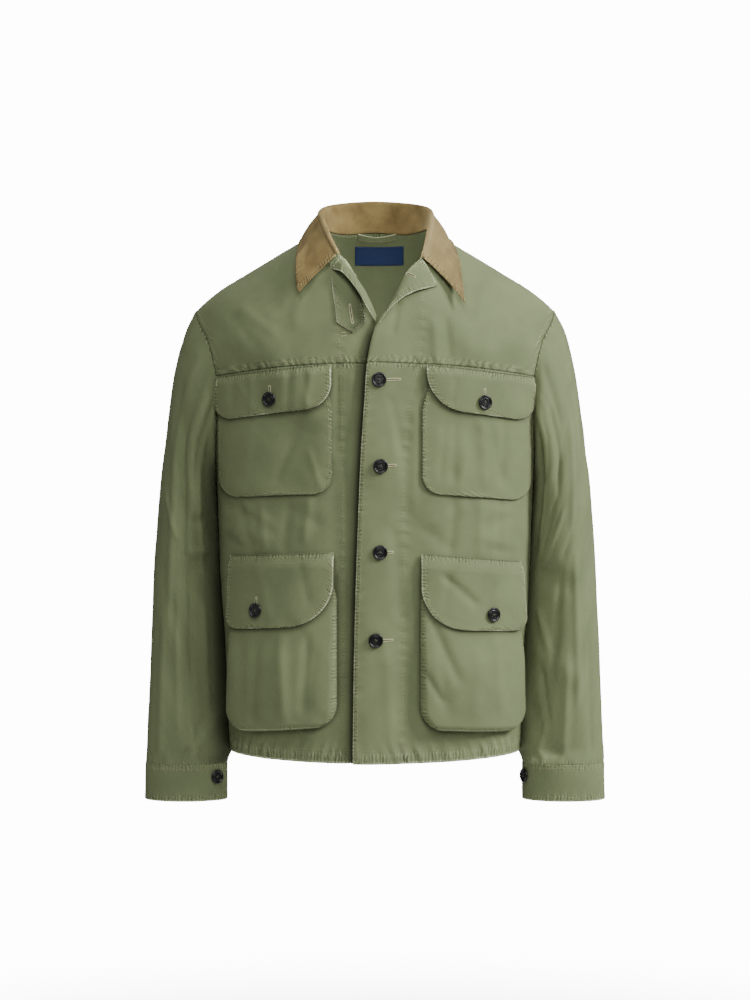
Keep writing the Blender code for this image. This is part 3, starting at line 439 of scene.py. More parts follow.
def cloth(name, middle, normal, thickness, finish, tube=False, wear_and_painted_light=0.0, seam=NO_SEAM):
    """A thin closed shell round a grid of points, with a rounded, folded edge.

    Each grid point gives one point half the thickness out and one half the thickness in. Round the
    border a third ring lies half the thickness past the edge. In a tube the last column joins the
    first. The map is the cloth laid flat, in metres, and the wear attribute says how washed out each
    point is; in some places it also carries painted light, and below 0 it carries painted shade.
    Seam is what seam_map gives: where each point lies in the puckered band of its nearest seam.
    """
    rows, columns = middle.shape[:2]
    far = rows * columns
    number = np.arange(far).reshape(rows, columns)
    reach = ways(rounded(middle) if tube else middle)
    flat = np.stack([reach["left"], -reach["top"]], -1) * MM
    wrapped = rounded(number) if tube else number
    outer = quads(wrapped)
    outer_map = flat.reshape(-1, 2)[quads(np.arange(flat[..., 0].size).reshape(rows, -1))]
    faces = [outer, outer[:, ::-1] + far]
    maps = [outer_map, outer_map[:, ::-1]]
    i, j = np.indices((rows, columns))
    if tube:
        next_in = number[np.clip(i, 1, rows - 2), j].ravel()
        borders = [wrapped[0], wrapped[-1, ::-1]]
    else:
        next_in = number[np.clip(i, 1, rows - 2), np.clip(j, 1, columns - 2)].ravel()
        loop = [number[0, :-1], number[:-1, -1], number[-1, :0:-1], number[:0:-1, 0], number[:1, 0]]
        borders = [np.concatenate(loop)]
    spots = middle.reshape(-1, 3)
    half = normal.reshape(-1, 3) * thickness / 2
    spread = flat[:, :columns].reshape(-1, 2)
    points = [spots + half, spots - half]
    worn = np.broadcast_to(wear_and_painted_light, (rows, columns)).ravel()
    wears = [worn, worn]
    known = np.broadcast_to(seam, (rows, columns, 3)).reshape(-1, 3)
    seams = [known, known]
    count = 2 * far
    for border in borders:
        ring = border[:-1]
        points.append(spots[ring] + unit(spots[ring] - spots[next_in[ring]]) * thickness / 2)
        wears.append(np.minimum(worn[ring] + EDGE_WORN, 1))
        seams.append(known[ring])
        edge = np.append(count + np.arange(len(ring)), count)
        for a, b in ((border, edge), (edge, border + far)):
            faces.append(np.stack([a[:-1], a[1:], b[1:], b[:-1]], 1))
            start, end = spread[ring], spread[border[1:]]
            maps.append(np.stack([start, end, end, start], 1))
        count += len(ring)
    points, faces, maps = map(np.concatenate, (points, faces, maps))
    a, b, c, d = (points[faces[:, k]] for k in range(4))
    if np.sum(a * np.cross(b, c) + a * np.cross(c, d)) < 0:
        faces = faces[:, ::-1]
        maps = maps[:, ::-1]
    piece = new_piece(name, points, faces.tolist(), finish)
    add_data = piece.data.attributes.new
    piece.data.uv_layers.new(name="flat").data.foreach_set("uv", maps.ravel())
    add_data("wear_and_painted_light", "FLOAT", "POINT").data.foreach_set("value", np.concatenate(wears))
    add_data("seam", "FLOAT_VECTOR", "POINT").data.foreach_set("vector", np.concatenate(seams).ravel())
    return piece


def linear(colour):
    """An sRGB hex value as linear light: the standard curve, with its straight foot."""
    parts = np.array([int(colour[k : k + 2], 16) for k in (1, 3, 5)]) / 255
    made = np.where(parts > 0.04045, ((parts + 0.055) / 1.055) ** 2.4, parts / 12.92)
    return (*made.tolist(), 1.0)


def connect(node, inputs):
    """Sets inputs of a node, by name or in order.

    Each is a value, an output of another node, or that node itself for its first output in use.
    """
    for key, value in (inputs if isinstance(inputs, dict) else dict(enumerate(inputs))).items():
        if isinstance(value, bpy.types.Node):
            value = next(each for each in value.outputs if each.enabled)
        if isinstance(value, bpy.types.NodeSocket):
            node.id_data.links.new(value, node.inputs[key])
        else:
            node.inputs[key].default_value = value
    return node


def add(made, kind, inputs=(), **settings):
    """Adds a node of a kind to a material, with its settings and its inputs."""
    node = made.node_tree.nodes.new("ShaderNode" + kind)
    for key, value in settings.items():
        setattr(node, key, value)
    return connect(node, inputs)


def times(made, first, *factors):
    """Nodes that multiply a value by each of the factors."""
    for factor in factors:
        first = add(made, "Math", (first, factor), operation="MULTIPLY")
    return first


def blend(made, share, a, b):
    """A node that mixes two colours: the first at a share of 0, the second at 1."""
    return add(made, "Mix", {"Factor": share, "A": a, "B": b}, data_type="RGBA")


def material(name, inputs):
    """A new material and its shader, with some of the shader's inputs set."""
    made = bpy.data.materials.new(name)
    made.use_nodes = True
    return made, connect(made.node_tree.nodes["Principled BSDF"], inputs)


# Cotton twill, piece-dyed olive and garment-washed. A diagonal rib of about 0.7 mm, drawn here at
# 1.3 mm because it is too fine to show, breaks the light softly. The washing has paled the seams'
# ridges and left faint clouds in the colour, and a short nap gives the cloth a dull sheen.
TWILL_RIB = 1.3
TWILL_DARK = linear("#596146")
TWILL_MAIN = linear("#7B8560")
TWILL_PALE = linear("#A9AF8A")
TWILL_RUBBED = linear("#BFC4A0")  # along folded edges
TWILL_FLECK = 0.9  # millimetres across the flecks of paler yarn
TWILL_CLOUD = 70.0
TWILL_TICK = 4.6  # the short puckers across a seam come about every two of these
TWILL_TICKED = 26.0  # they are strong and weak by turns over stretches of this length
TWILL_TICK_DEPTH = 0.5
# painted highlight on the puckers' ridges and painted shade in their hollows, this strong
TWILL_TICK_PAINTED_SHADE = 0.6
TWILL_PAINTED_SHADE = 0.62  # how much darker the deepest painted shade makes the cloth
TWILL_RELIEF = 0.4  # the height of ribs and nap
WAVE = 2 * math.pi / 20  # a wave texture of scale 1 repeats after this length


def cross_ticks(made, pitch, patch):
    """Nodes for the short puckers across a sewn edge: a sine along it, whose phase noise upsets.

    They are strong and weak by patches. It gives the seam attribute's parts, the ticks, from -0.5
    to 0.5, and the patches.
    """
    seam = add(made, "Attribute", attribute_name="seam").outputs["Vector"]
    seam = add(made, "SeparateXYZ", (seam,)).outputs
    spot = add(made, "CombineXYZ", (seam["X"], seam["Y"]))
    spot = add(made, "VectorMath", (spot, (1000 / (1.6 * pitch), 1.3, 1.0)), operation="MULTIPLY")
    noise = add(made, "TexNoise", {"Vector": spot, "Scale": 1.0, "Detail": 2.0})
    uneven = add(made, "MapRange", (noise, 0.36, 0.6, 0.15, 0.75))
    phase = (seam["X"], 2000 * math.pi / pitch, times(made, noise, 13.0))
    ticks = add(made, "Math", (add(made, "Math", phase, operation="MULTIPLY_ADD"),), operation="SINE")
    spot = add(made, "CombineXYZ", (times(made, seam["X"], 1000 / patch),))
    patches = add(made, "TexNoise", {"Vector": spot, "Scale": 1.0, "Detail": 0.0})
    patches = add(made, "MapRange", (patches, 0.36, 0.56, 0.35, 1.0))
    band = add(made, "MapRange", (seam["Y"], 0.55, 1.0, 1.0, 0.0), interpolation_type="SMOOTHSTEP")
    gathers = add(made, "MapRange", (seam["Z"], 0.0, 0.5, 0.25, 1.0))
    return seam, times(made, ticks, uneven, times(made, patches, band, gathers)), patches


def washed_twill():
    """Twill: colour from clouds, flecks, washing, painted light and painted shade, and a bump of slanting ribs
    and nap.
    """
    sheen = {"Sheen Weight": 0.15, "Sheen Roughness": 0.55, "Sheen Tint": TWILL_PALE}
    made, shader = material("washed cotton twill", {"Roughness": 0.88, "Specular IOR Level": 0.25, **sheen})
    flat = add(made, "UVMap", uv_map="flat")
    clouds = {"Vector": flat, "Scale": 1000 / TWILL_CLOUD, "Detail": 3.0, "Roughness": 0.55}
    flecks = {"Vector": flat, "Scale": 1000 / TWILL_FLECK, "Detail": 2.0, "Roughness": 0.6}
    clouds, flecks = add(made, "TexNoise", clouds), add(made, "TexNoise", flecks)
    ribs = {"Vector": flat, "Scale": WAVE / (TWILL_RIB * MM), "Distortion": 1.2, "Detail Scale": 2.0}
    ribs = add(made, "TexWave", ribs, wave_type="BANDS", bands_direction="DIAGONAL").outputs["Fac"]
    # The attribute read here is wear, with painted light in some places, and painted shade below 0.
    worn = add(made, "Attribute", attribute_name="wear_and_painted_light").outputs["Fac"]
    ground = blend(made, add(made, "MapRange", (clouds, 0.32, 0.68, 0.0, 0.34)), TWILL_MAIN, TWILL_DARK)
    washed = blend(made, times(made, worn, flecks), ground, TWILL_PALE)
    seam, ticks, patches = cross_ticks(made, TWILL_TICK, TWILL_TICKED)
    rim = add(made, "MapRange", (seam["Y"], 0.06, 0.16, 0.9, 0.0))
    rim = times(made, rim, add(made, "MapRange", (seam["Z"], 0.55, 1.0, 0.0, 1.0)), patches)
    washed = blend(made, rim, washed, TWILL_RUBBED)
    joined = add(made, "Math", (seam["Z"], 0.5, 0.2), operation="COMPARE")
    joint = add(made, "MapRange", (seam["Y"], 0.05, 0.14, -0.5, 0.0))
    joint = add(made, "Math", (joint, joined, 1.0), operation="MULTIPLY_ADD")
    grain = add(made, "MapRange", (flecks, 0.3, 0.7, 0.86, 1.14))
    ribbed = add(made, "MapRange", (ribs, 0.0, 1.0, 0.985, 1.01))
    # Painted highlight on the puckers' ridges and painted shade in their hollows.
    tick_painted_shade = add(made, "Math", (ticks, TWILL_TICK_PAINTED_SHADE, 1.0), operation="MULTIPLY_ADD")
    # Painted shade: values below 0 darken the colour.
    painted_shade_share = add(made, "Math", (worn, 0.0), operation="MINIMUM")
    painted_shade = add(made, "Math", (painted_shade_share, TWILL_PAINTED_SHADE, 1.0), operation="MULTIPLY_ADD")
    shade = times(made, grain, ribbed, tick_painted_shade, joint, painted_shade)
    colour = add(made, "VectorMath", {0: washed, "Scale": shade}, operation="SCALE")
    gathered = add(made, "Bump", {"Height": ticks, "Strength": 1.0, "Distance": TWILL_TICK_DEPTH * MM})
    relief = add(made, "Math", (ribs, 0.3, flecks), operation="MULTIPLY_ADD")
    relief = {"Height": relief, "Strength": 0.5, "Distance": TWILL_RELIEF * MM, "Normal": gathered}
    connect(shader, {"Base Color": colour, "Normal": add(made, "Bump", relief)})
    return made


twill = washed_twill()


def side_angle(z, column):
    """Angle of a panel's outer edge at a height: along the armhole, then at the side seam."""
    return angle_of(along(ARMHOLE, "height", column, z), z)


def hem_height(x):
    """The hem's height: lowest in the middle, and rising by a square towards the sides."""
    return HEM_MIDDLE + HEM_SIDE_RISE * (np.abs(x) / HEM_WIDTH) ** 2


def upper_grid(shares, laps_down, angle_at, top_lap, low_height):
    """Angles and laps of rows spread evenly from a top line over the shoulder to a line at a height."""
    share, down = np.meshgrid(shares, laps_down)
    z = np.full(share.shape, -150.0)
    for _ in range(REPEATS):
        angle = angle_at(share, z)
        x = along(BODY, "height", "half_width", z) * signed_power(np.sin(angle), 2 / SQUARENESS)
        lap = mix(top_lap(share), lap_of(shoulder_line(x) - low_height(x)), down)
        z = shoulder_line(x) - drop_of(lap)
    return angle, lap


def lower_grid(shares, downs, angle_at, high_height, low_height):
    """Angles and laps of rows spread evenly from one height to another."""
    share, down = np.meshgrid(shares, downs)
    z = np.full(share.shape, -400.0)
    for _ in range(REPEATS):
        angle = angle_at(share, z)
        x = along(BODY, "height", "half_width", z) * signed_power(np.sin(angle), 2 / SQUARENESS)
        z = mix(high_height(x), low_height(x), down)
    return angle, lap_of(shoulder_line(x) - z)


def stitch_wear(away, inset, reach):
    """Where stitching has paled the cloth: a bell curve about an inset from an edge."""
    return 0.75 * np.exp(-(((away - inset) / reach) ** 2))


BACK_SHARES = np.linspace(-1, 1, 161) * 0.9995
BACK_UPPER_ROWS = 91
BACK_LOWER_ROWS = 111


def back_angle(share, z):
    """The back's angles: the share of the way from its middle to its outer edge."""
    return share * side_angle(z, "back_x")


def back_top(share):
    """The back's top line: past the ridge at the shoulder seams, and a half ellipse down at the neck."""
    bow = np.sqrt(np.clip(1 - (share / NECK_SHARE) ** 2, 0, 1))
    return -SHOULDER_WRAP + 0.0011 + NECK_BACK_LAP * bow


def armpit_height(x):
    """The foot of the armholes, level all round."""
    return ARMPIT + 0 * x


upper = upper_grid(BACK_SHARES, np.linspace(0, 1, BACK_UPPER_ROWS), back_angle, back_top, armpit_height)
lower = lower_grid(BACK_SHARES, np.linspace(0, 1, BACK_LOWER_ROWS)[1:], back_angle, armpit_height, hem_height)
back_at = [np.concatenate(pair) for pair in zip(upper, lower)]
smooth = body_point(*back_at, 1)
reach = ways(smooth)
back_lift = 1.5 * crumple(smooth[..., 0], smooth[..., 2], 3.1)
back_lift = back_lift + 0.45 * crumple(smooth[..., 0] * 2.7, smooth[..., 2] * 2.3, 1.7)
back_lift = back_lift * soft(reach["top"] / 25) * soft(reach["left"] / 18) * soft(reach["right"] / 18)
back_lift += pucker(reach["bottom"], reach["left"], HEM_STITCH - 7, 10.0, 1.4, 13.0, 1.0)
back_lift += pucker(reach["left"], reach["top"], 5.0, 7.0, 0.6, 13.0, 2.0)
back_lift += pucker(reach["right"], reach["top"], 5.0, 7.0, 0.6, 13.0, 4.0)
back_points, back_out = cloth_points(*back_at, 1, back_lift)
back_out = facing(grid_normals(back_points), back_out)
back_wear = 0.2 * stitch_wear(reach["bottom"], HEM_STITCH, 3.0) + 0.2 * stitch_wear(reach["bottom"], 1.0, 3.0)
back_seam = seam_map(
    (reach["bottom"], reach["left"], HEM_STITCH + 4, 1),
    (reach["left"], reach["top"], 9.0, 0.5),
    (reach["right"], reach["top"] + 400, 9.0, 0.5),
    (reach["top"], reach["left"] + 900, 8.0, 0.5),
)
back = cloth("back_cloth", back_points, back_out, TWILL_WALL, twill, wear_and_painted_light=back_wear, seam=back_seam)
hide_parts("back")

# ================================================================== stitching
# Two-ply cotton thread, a little paler than the cloth, in lockstitch of about 3 mm. Each stitch is
# a small spindle that lies half sunk in the cloth, with a gap where the thread goes through.
STITCH_PITCH = 3.1
STITCH_GAP = 0.7
STITCH_WIDTH = 0.42
STITCH_HEIGHT = 0.34
thread, _ = material("cotton thread", {"Base Color": linear("#8E8C63"), "Roughness": 0.7})


def lengths(line):
    """How far along a line each of its points lies."""
    return np.concatenate([[0], np.cumsum(np.linalg.norm(np.diff(line, axis=0), axis=1))])


def inset_line(points, normals, side, inset, skip=0.0):
    """The line on a cloth at an inset from one side of its grid, and the way out along it.

    In each column the two grid points on either side of the inset are mixed. Skip leaves that much
    out at both ends.
    """
    if side in ("left", "right"):
        points, normals = points.swapaxes(0, 1), normals.swapaxes(0, 1)
    if side in ("bottom", "right"):
        points, normals = points[::-1], normals[::-1]
    down = ways(points)["top"]
    row = np.clip((down < inset).sum(0) - 1, 0, len(points) - 2)
    column = np.arange(points.shape[1])
    t = ((inset - down[row, column]) / (down[row + 1, column] - down[row, column]))[:, None]
    line = mix(points[row, column], points[row + 1, column], t)
    out = unit(mix(normals[row, column], normals[row + 1, column], t))
    length = lengths(line)
    kept = (length >= skip) & (length <= length[-1] - skip)
    return line[kept], out[kept]


def settled(path, points, normals):
    """A path moved onto a cloth: along the way out of the nearest grid point, to the plane there."""
    spots = points.reshape(-1, 3)
    outs = normals.reshape(-1, 3)
    gap = (path**2).sum(1)[:, None] + (spots**2).sum(1)[None] - 2 * path @ spots.T
    near = np.argmin(gap, 1)
    out = outs[near]
    rise = np.sum((spots[near] - path) * out, 1)
    return path + out * rise[:, None], out


def stitches(name, lines, wall=TWILL_WALL, finish=thread):
    """Rows of stitches along lines on a cloth: a spindle of four sides in each pitch of each line."""
    corners = []
    for line, out in lines:
        length = lengths(line)
        count = int(length[-1] // STITCH_PITCH)
        starts = (np.arange(count) + 0.5 * (length[-1] / STITCH_PITCH - count)) * STITCH_PITCH
        ends = starts + STITCH_PITCH - STITCH_GAP
        at = [np.stack([np.interp(s, length, line[:, k]) for k in range(3)], -1) for s in (starts, ends)]
        up = unit(np.stack([np.interp((starts + ends) / 2, length, out[:, k]) for k in range(3)], -1))
        run = at[1] - at[0]
        beside = unit(np.cross(run, up)) * STITCH_WIDTH
        base = at[0] + up * wall / 2
        ring = [beside, up * STITCH_HEIGHT, -beside, -up * STITCH_HEIGHT]
        spindle = [base]
        for share in (0.22, 0.78):
            spindle += [base + run * share + side for side in ring]
        spindle.append(base + run)
        corners.append(np.stack(spindle, 1))
    corners = np.concatenate(corners)
    first = (np.arange(len(corners)) * 10)[:, None]
    faces = []
    for k in range(4):
        after = (k + 1) % 4
        faces.append(first + [0, 1 + k, 1 + after])
        faces.append(first + [9, 5 + after, 5 + k])
        faces.append(first + [1 + k, 5 + k, 5 + after, 1 + after])
    piece = new_piece(name, corners.reshape(-1, 3), [f for group in faces for f in group.tolist()], finish)


stitches("hem_stitching_back", [inset_line(back_points, back_out, "bottom", HEM_STITCH)])

# ================================================================== the fronts and their yokes
# Twill again: a plain front with a sewn-on yoke above it, topstitched along the seam. The front
# seen on the right laps over the other one and carries the buttonholes. Each has a facing inside,
# held by a line of stitching that runs down beside the buttons.
HANDS = {"left": -1, "right": 1}
YOKE_SEAM_MIDDLE = -187.0
YOKE_SEAM_SIDE = -201.0
YOKE_SEAM_WIDTH = 212.0
FRONT_COLUMNS = np.linspace(0, 1, 105)
FRONT_ROWS = np.linspace(0, 1, 211)
YOKE_ROWS = np.linspace(0, 1, 95)
EDGE_STITCH = 5.0
YOKE_STITCH = 6.0
ARMHOLE_STITCH = 5.0
PATCH_PAINTED_SHADE = 0.75  # painted shade next to a patch, this deep
FLAT_PAINTED_SHADE = 0.25  # a chest pocket lies flat and gets this share of that painted shade
OVERLAP_PAINTED_SHADOW = 1.35  # and the painted shadow beside the front that laps over the other, this deep
SEAM_BAND = 5.5  # the puckers reach this far past a line of stitching
FRONT_EDGE = {
    -1: table(
        "height x",
        (20, 72),
        (0, 72),
        (-8, 71.5),
        (-24, 62),
        (-42, 47),
        (-56, 35.4),
        (-80, 21.8),
        (-101, 9.4),
        (-128, -3),
        (-150, -14),
        (-187, -24),
        (-240, -25),
        (-707, -18),
        (-800, -18),
    ),
    1: table(
        "height x",
        (20, 72),
        (0, 72),
        (-10, 72),
        (-28, 68),
        (-46, 60.5),
        (-66, 43.2),
        (-88, 31.3),
        (-108, 22),
        (-135, 3),
        (-152, -2.6),
        (-183, -9),
        (-235, -13),
        (-295, -17),
        (-414, -22),
        (-574, -26.5),
        (-707, -28),
        (-800, -28),
    ),
}
# Where the stitching that holds each facing runs.
FACING = {
    -1: table("height x", (0, -53), (-140, -49), (-183, -45), (-240, -44), (-707, -42)),
    1: table("height x", (0, 66), (-100, 62), (-180, 57), (-240, 45), (-500, 37), (-707, 34)),
}


# The patches on the fronts, in the front view's millimetres: each pair is for its left and right.
PATCH = {
    "chest_pocket_left": dict(x=(-205, -56), tuck=(3, 8), low=(-360, -357), top=(-222, -208), corner=(26, 24)),
    "chest_pocket_right": dict(x=(61, 205), tuck=(9, 3), low=(-357, -364), top=(-208, -222), corner=(24, 26)),
    "chest_flap_left": dict(x=(-208, -57), low=(-257, -247), top=(-202.6, -189.2), corner=(22, 34)),
    "chest_flap_right": dict(x=(67, 208), low=(-250, -258), top=(-190.2, -202.6), corner=(52, 26)),
    "hip_pocket_left": dict(x=(-188, -50), tuck=(2, 9), low=(-668, -660), top=(-456, -452), corner=(28, 30)),
    "hip_pocket_right": dict(x=(59, 191), tuck=(6, 2), low=(-664, -668), top=(-453, -462), corner=(32, 28)),
    "hip_flap_left": dict(x=(-188, -54), low=(-533, -529), top=(-438, -433), corner=(14, 60)),
    "hip_flap_right": dict(x=(60, 191), low=(-533, -536), top=(-435, -446), corner=(56, 16)),
}


def painted_patch_shade(size, x, z, reach):
    """Painted shade round a patch's edge: 1 under it, and a bell curve from its outline out.

    The outline is a box whose lower corners are rounded. Above its top no shade is painted.
    """
    left, right = size["x"]
    share = np.clip((x - left) / (right - left), 0, 1)
    low, top = mix(*size["low"], share), mix(*size["top"], share)
    radius = np.where(x < (left + right) / 2, *size["corner"])
    aside = np.abs(x - (left + right) / 2) - (right - left) / 2
    corner = np.hypot(np.maximum(aside + radius, 0), np.maximum(low - z + radius, 0)) - radius
    away = np.where(z < (low + top) / 2, np.maximum(corner, np.maximum(aside, low - z)), aside)
    return PATCH_PAINTED_SHADE * np.exp(-((np.maximum(away, 0) / reach) ** 2)) * soft((top - z) / 12)


def overlap_lift(x, z, hand):
    """The front on the right rises over the other where they lap, and that one sinks: soft steps in x."""
    below_roll = soft((-100 - z) / 50)
    if hand > 0:
        return below_roll * 7.4 * soft((62 - x) / 78)
    beneath = x - along(FRONT_EDGE[1], "height", "x", z) + 4
    sunk = 4.6 * np.exp(-((beneath / 7) ** 2)) * soft((-150 - z) / 40)
    return -below_roll * 2.2 * soft((x + 38) / 40) - sunk


def front_unevenness(x, z):
    """The worn unevenness of the fronts, shared by what lies on them; it fades at their seams."""
    worn = 1.4 * crumple(x, z, 7.3) + 0.5 * crumple(x * 2.7, z * 2.2, 2.9)
    return worn * soft((-z - 10) / 60) * soft((HEM_MIDDLE - z + 30) / -20 + 1)


def on_front(x, z, out):
    """Points at a place of the front view, raised by out from the front's own middle."""
    x, z, out = np.broadcast_arrays(np.asarray(x, float), np.asarray(z, float), np.asarray(out, float))
    rise = np.where(x > -12, overlap_lift(x, z, 1), overlap_lift(x, z, -1))
    lap = lap_of(shoulder_line(x) - z)
    return cloth_points(angle_of(x, z), lap, -1, out + rise + front_unevenness(x, z))


def sewn(points, *edges, joined=()):
    """Lift, wear and seam map of stitched edges: puckers and a paled line at an inset from each side.

    The sides named in joined are seams to another piece, and the others are folded edges.
    """
    reach = ways(points)
    tall, wide = reach["top"] + reach["bottom"], reach["left"] + reach["right"]
    runs = {
        "left": reach["top"],
        "bottom": tall + reach["left"],
        "right": tall + wide + reach["bottom"],
        "top": -reach["left"],
    }
    lift = 0.0
    wear_and_painted_light = 0.0
    bands = []
    for side, inset, width, depth, pitch, seed in edges:
        s = runs[side]
        made = pucker(reach[side], s, inset, width, depth, pitch, seed)
        lift = lift + made
        wear_and_painted_light = wear_and_painted_light + 0.25 * stitch_wear(reach[side], inset, 2.5) + 0.3 * np.maximum(made, 0)
        bands.append((reach[side], s + 97 * edges[0][-1], inset + SEAM_BAND, 0.5 if side in joined else 1))
    seam = seam_map(*bands)
    if {"top", "right"} <= {edge[0] for edge in edges}:  # no puckers where the run starts and ends
        corner = (np.abs(reach["top"] - reach["right"]) < 2.5) & (reach["top"] < 25)
        seam[..., 1] = np.where(corner, NO_SEAM[1], seam[..., 1])
    return lift, np.clip(wear_and_painted_light, 0, 1), seam


def yoke_seam_height(x):
    """The yoke seam: a square's curve down towards the armholes."""
    return mix(YOKE_SEAM_MIDDLE, YOKE_SEAM_SIDE, (np.abs(x) / YOKE_SEAM_WIDTH) ** 2)


def front_angle(share, z, hand):
    """A front's angles, from its inner edge to its armhole or side, counted outwards on both hands."""
    inner = angle_of(along(FRONT_EDGE[hand], "height", "x", z), z)
    return mix(inner, side_angle(z, "front_x"), share)


fronts = {}
yokes = {}
for word, hand in HANDS.items():
    for part in ("yoke", "front"):
        if part == "yoke":
            at = upper_grid(
                FRONT_COLUMNS,
                YOKE_ROWS,
                lambda share, z: front_angle(share, z, hand),
                lambda share: SHOULDER_WRAP + 0 * share,
                yoke_seam_height,
            )
            edges = [
                ("bottom", YOKE_STITCH, 7.0, 0.5, 11.0, 1.0 + hand),
                ("top", 5.0, 6.0, 0.5, 14.0, 2.0 + hand),
                ("right", ARMHOLE_STITCH + 2, 7.0, 0.45, 13.0, 3.0 + hand),
            ]
            joined = ("bottom", "top", "right")
        else:
            at = lower_grid(
                FRONT_COLUMNS,
                FRONT_ROWS,
                lambda share, z: front_angle(share, z, hand),
                yoke_seam_height,
                hem_height,
            )
            edges = [
                ("top", 3.0, 5.0, 0.3, 11.0, 1.0 + hand),
                ("bottom", HEM_STITCH - 5, 13.0, 1.9, 15.0, 2.0 + hand),
                ("right", ARMHOLE_STITCH, 8.0, 0.5, 13.0, 4.0 + hand),
                ("left", EDGE_STITCH, 6.0, 0.55, 15.0, 5.0 + hand),
            ]
            joined = ("top", "right")
        smooth = body_point(hand * at[0], at[1], -1)
        x, z = smooth[..., 0], smooth[..., 2]
        lift, wear_and_painted_light, seam = sewn(smooth, *edges, joined=joined)
        edge = np.exp(-((ways(smooth)["left"] / 12) ** 4))[..., None]
        seam = seam * (1 + 0.8 * edge * np.array((0, 1, 0)))
        beside = np.abs(x - along(FACING[hand], "height", "x", z))
        lift = lift + pucker(beside, z, 0.0, 7.0, 0.8, 17.0, 6.0 + hand)
        wear_and_painted_light = wear_and_painted_light + 0.2 * stitch_wear(beside, 0.0, 2.0)
        line = np.where(z < HEM_MIDDLE + 2 * HEM_STITCH, HEM_STITCH, beside)
        seam = np.where((line / 5.0 < seam[..., 1])[..., None], seam_map((line, z, 5.0, 0)), seam)
        # Painted shade round the patches, and a painted shadow beside the edge of the front that laps over, go
        # in as values below 0.
        shade = 0.0
        for name, size in PATCH.items():
            if word in name:
                share = FLAT_PAINTED_SHADE if "chest_pocket" in name else 1.0
                shade = np.maximum(shade, share * painted_patch_shade(size, x, z, 3.5))
        if hand < 0:
            beneath = along(FRONT_EDGE[1], "height", "x", z) - x
            beneath = np.exp(-((np.maximum(beneath - 1, 0) / 7) ** 2)) * soft((-125 - z) / 30)
            shade = np.maximum(shade, OVERLAP_PAINTED_SHADOW * beneath)
        wear_and_painted_light = np.where(shade > 0.02, -shade, np.clip(wear_and_painted_light, 0, 1))
        lift = lift + overlap_lift(x, z, hand) + front_unevenness(x, z)
        points, out = cloth_points(hand * at[0], at[1], -1, lift)
        out = facing(grid_normals(points), out)
        piece = cloth(f"{part}_{word}_cloth", points, out, TWILL_WALL, twill, wear_and_painted_light=wear_and_painted_light, seam=seam)
        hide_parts(f"{part}_{word}")
        if part == "yoke":
            yokes[hand] = points, out
            facing_z = np.linspace(-105, YOKE_SEAM_MIDDLE, 60)
            lines = [
                inset_line(points, out, "bottom", YOKE_STITCH),
                inset_line(points, out, "right", ARMHOLE_STITCH),
                inset_line(points, out, "top", 3.0),
            ]
        else:
            fronts[hand] = points, out
            facing_z = np.linspace(YOKE_SEAM_MIDDLE - 4, HEM_MIDDLE + HEM_STITCH, 200)
            lines = [
                inset_line(points, out, "bottom", HEM_STITCH),
                inset_line(points, out, "left", EDGE_STITCH),
            ]
            line, way = inset_line(points, out, "right", ARMHOLE_STITCH)
            lines.append((line[line[:, 2] > ARMPIT], way[line[:, 2] > ARMPIT]))
        path, _ = on_front(along(FACING[hand], "height", "x", facing_z), facing_z, 0.0)
        lines.append(settled(path, points, out))
        stitches(f"{part}_{word}_stitching", lines)

# ================================================================== the sleeves
# One-piece twill sleeves, set into the armholes, with the fullness of a bent arm: long soft folds
# run down them from the shoulder, and short ones cross the inside of the elbow.
SLEEVE_COLUMNS = 121
SLEEVE_ROWS = 171
SLEEVE_STANDOFF = 0.9  # the sleeve's head lies this far outside the armhole's edge
SLEEVE_CLOSER = 3.6  # the cloth rests this much closer to the body than its solid
SLEEVE_PAINTED_SHADE = {-1: 1.1, 1: -0.4}  # painted shade on its side next to the body, this deep; below 0, painted light there
SLEEVE_PAINTED_SHADE_AT = 152.0  # degrees round the arm
SLEEVE_GAINS = (0.8, 1.45)  # of the tables of folds and of creases
SLEEVE_LOW_CLOSER = 2.6
PRESSED_OPEN = 0.28  # what a seam map says of the cuff's seam: puckers, but no dark line
SLEEVE_BACK = 26.0  # low down, its inner side hangs this far behind the body's widest place
SLEEVE_RADIUS = 60.0  # of the tube that the sleeve's folds are laid out on
SLEEVE_LENGTH = 610.0
SLEEVE = table(
    "outer_x outer_z inner_x inner_z depth middle_y",
    (241, -110, 217.0, -323, 66, 8),
    (257, -142, 217.5, -336, 72, 9),
    (267.5, -182, 217.4, -352, 71, 11),
    (275.6, -225, 216.2, -376, 68, 12),
    (284, -291, 214.6, -412, 67, 12),
    (290.8, -356, 212.8, -450, 65, 10),
    (296.6, -434, 210.4, -500, 61, 7),
    (299.8, -510, 207.6, -556, 57, 3),
    (303.2, -600, 203.6, -625, 50, -2),
    (305.5, -670, 200.4, -682, 44, -6),
    (307.5, -716.4, 198.6, -716.4, 40, -9),
)
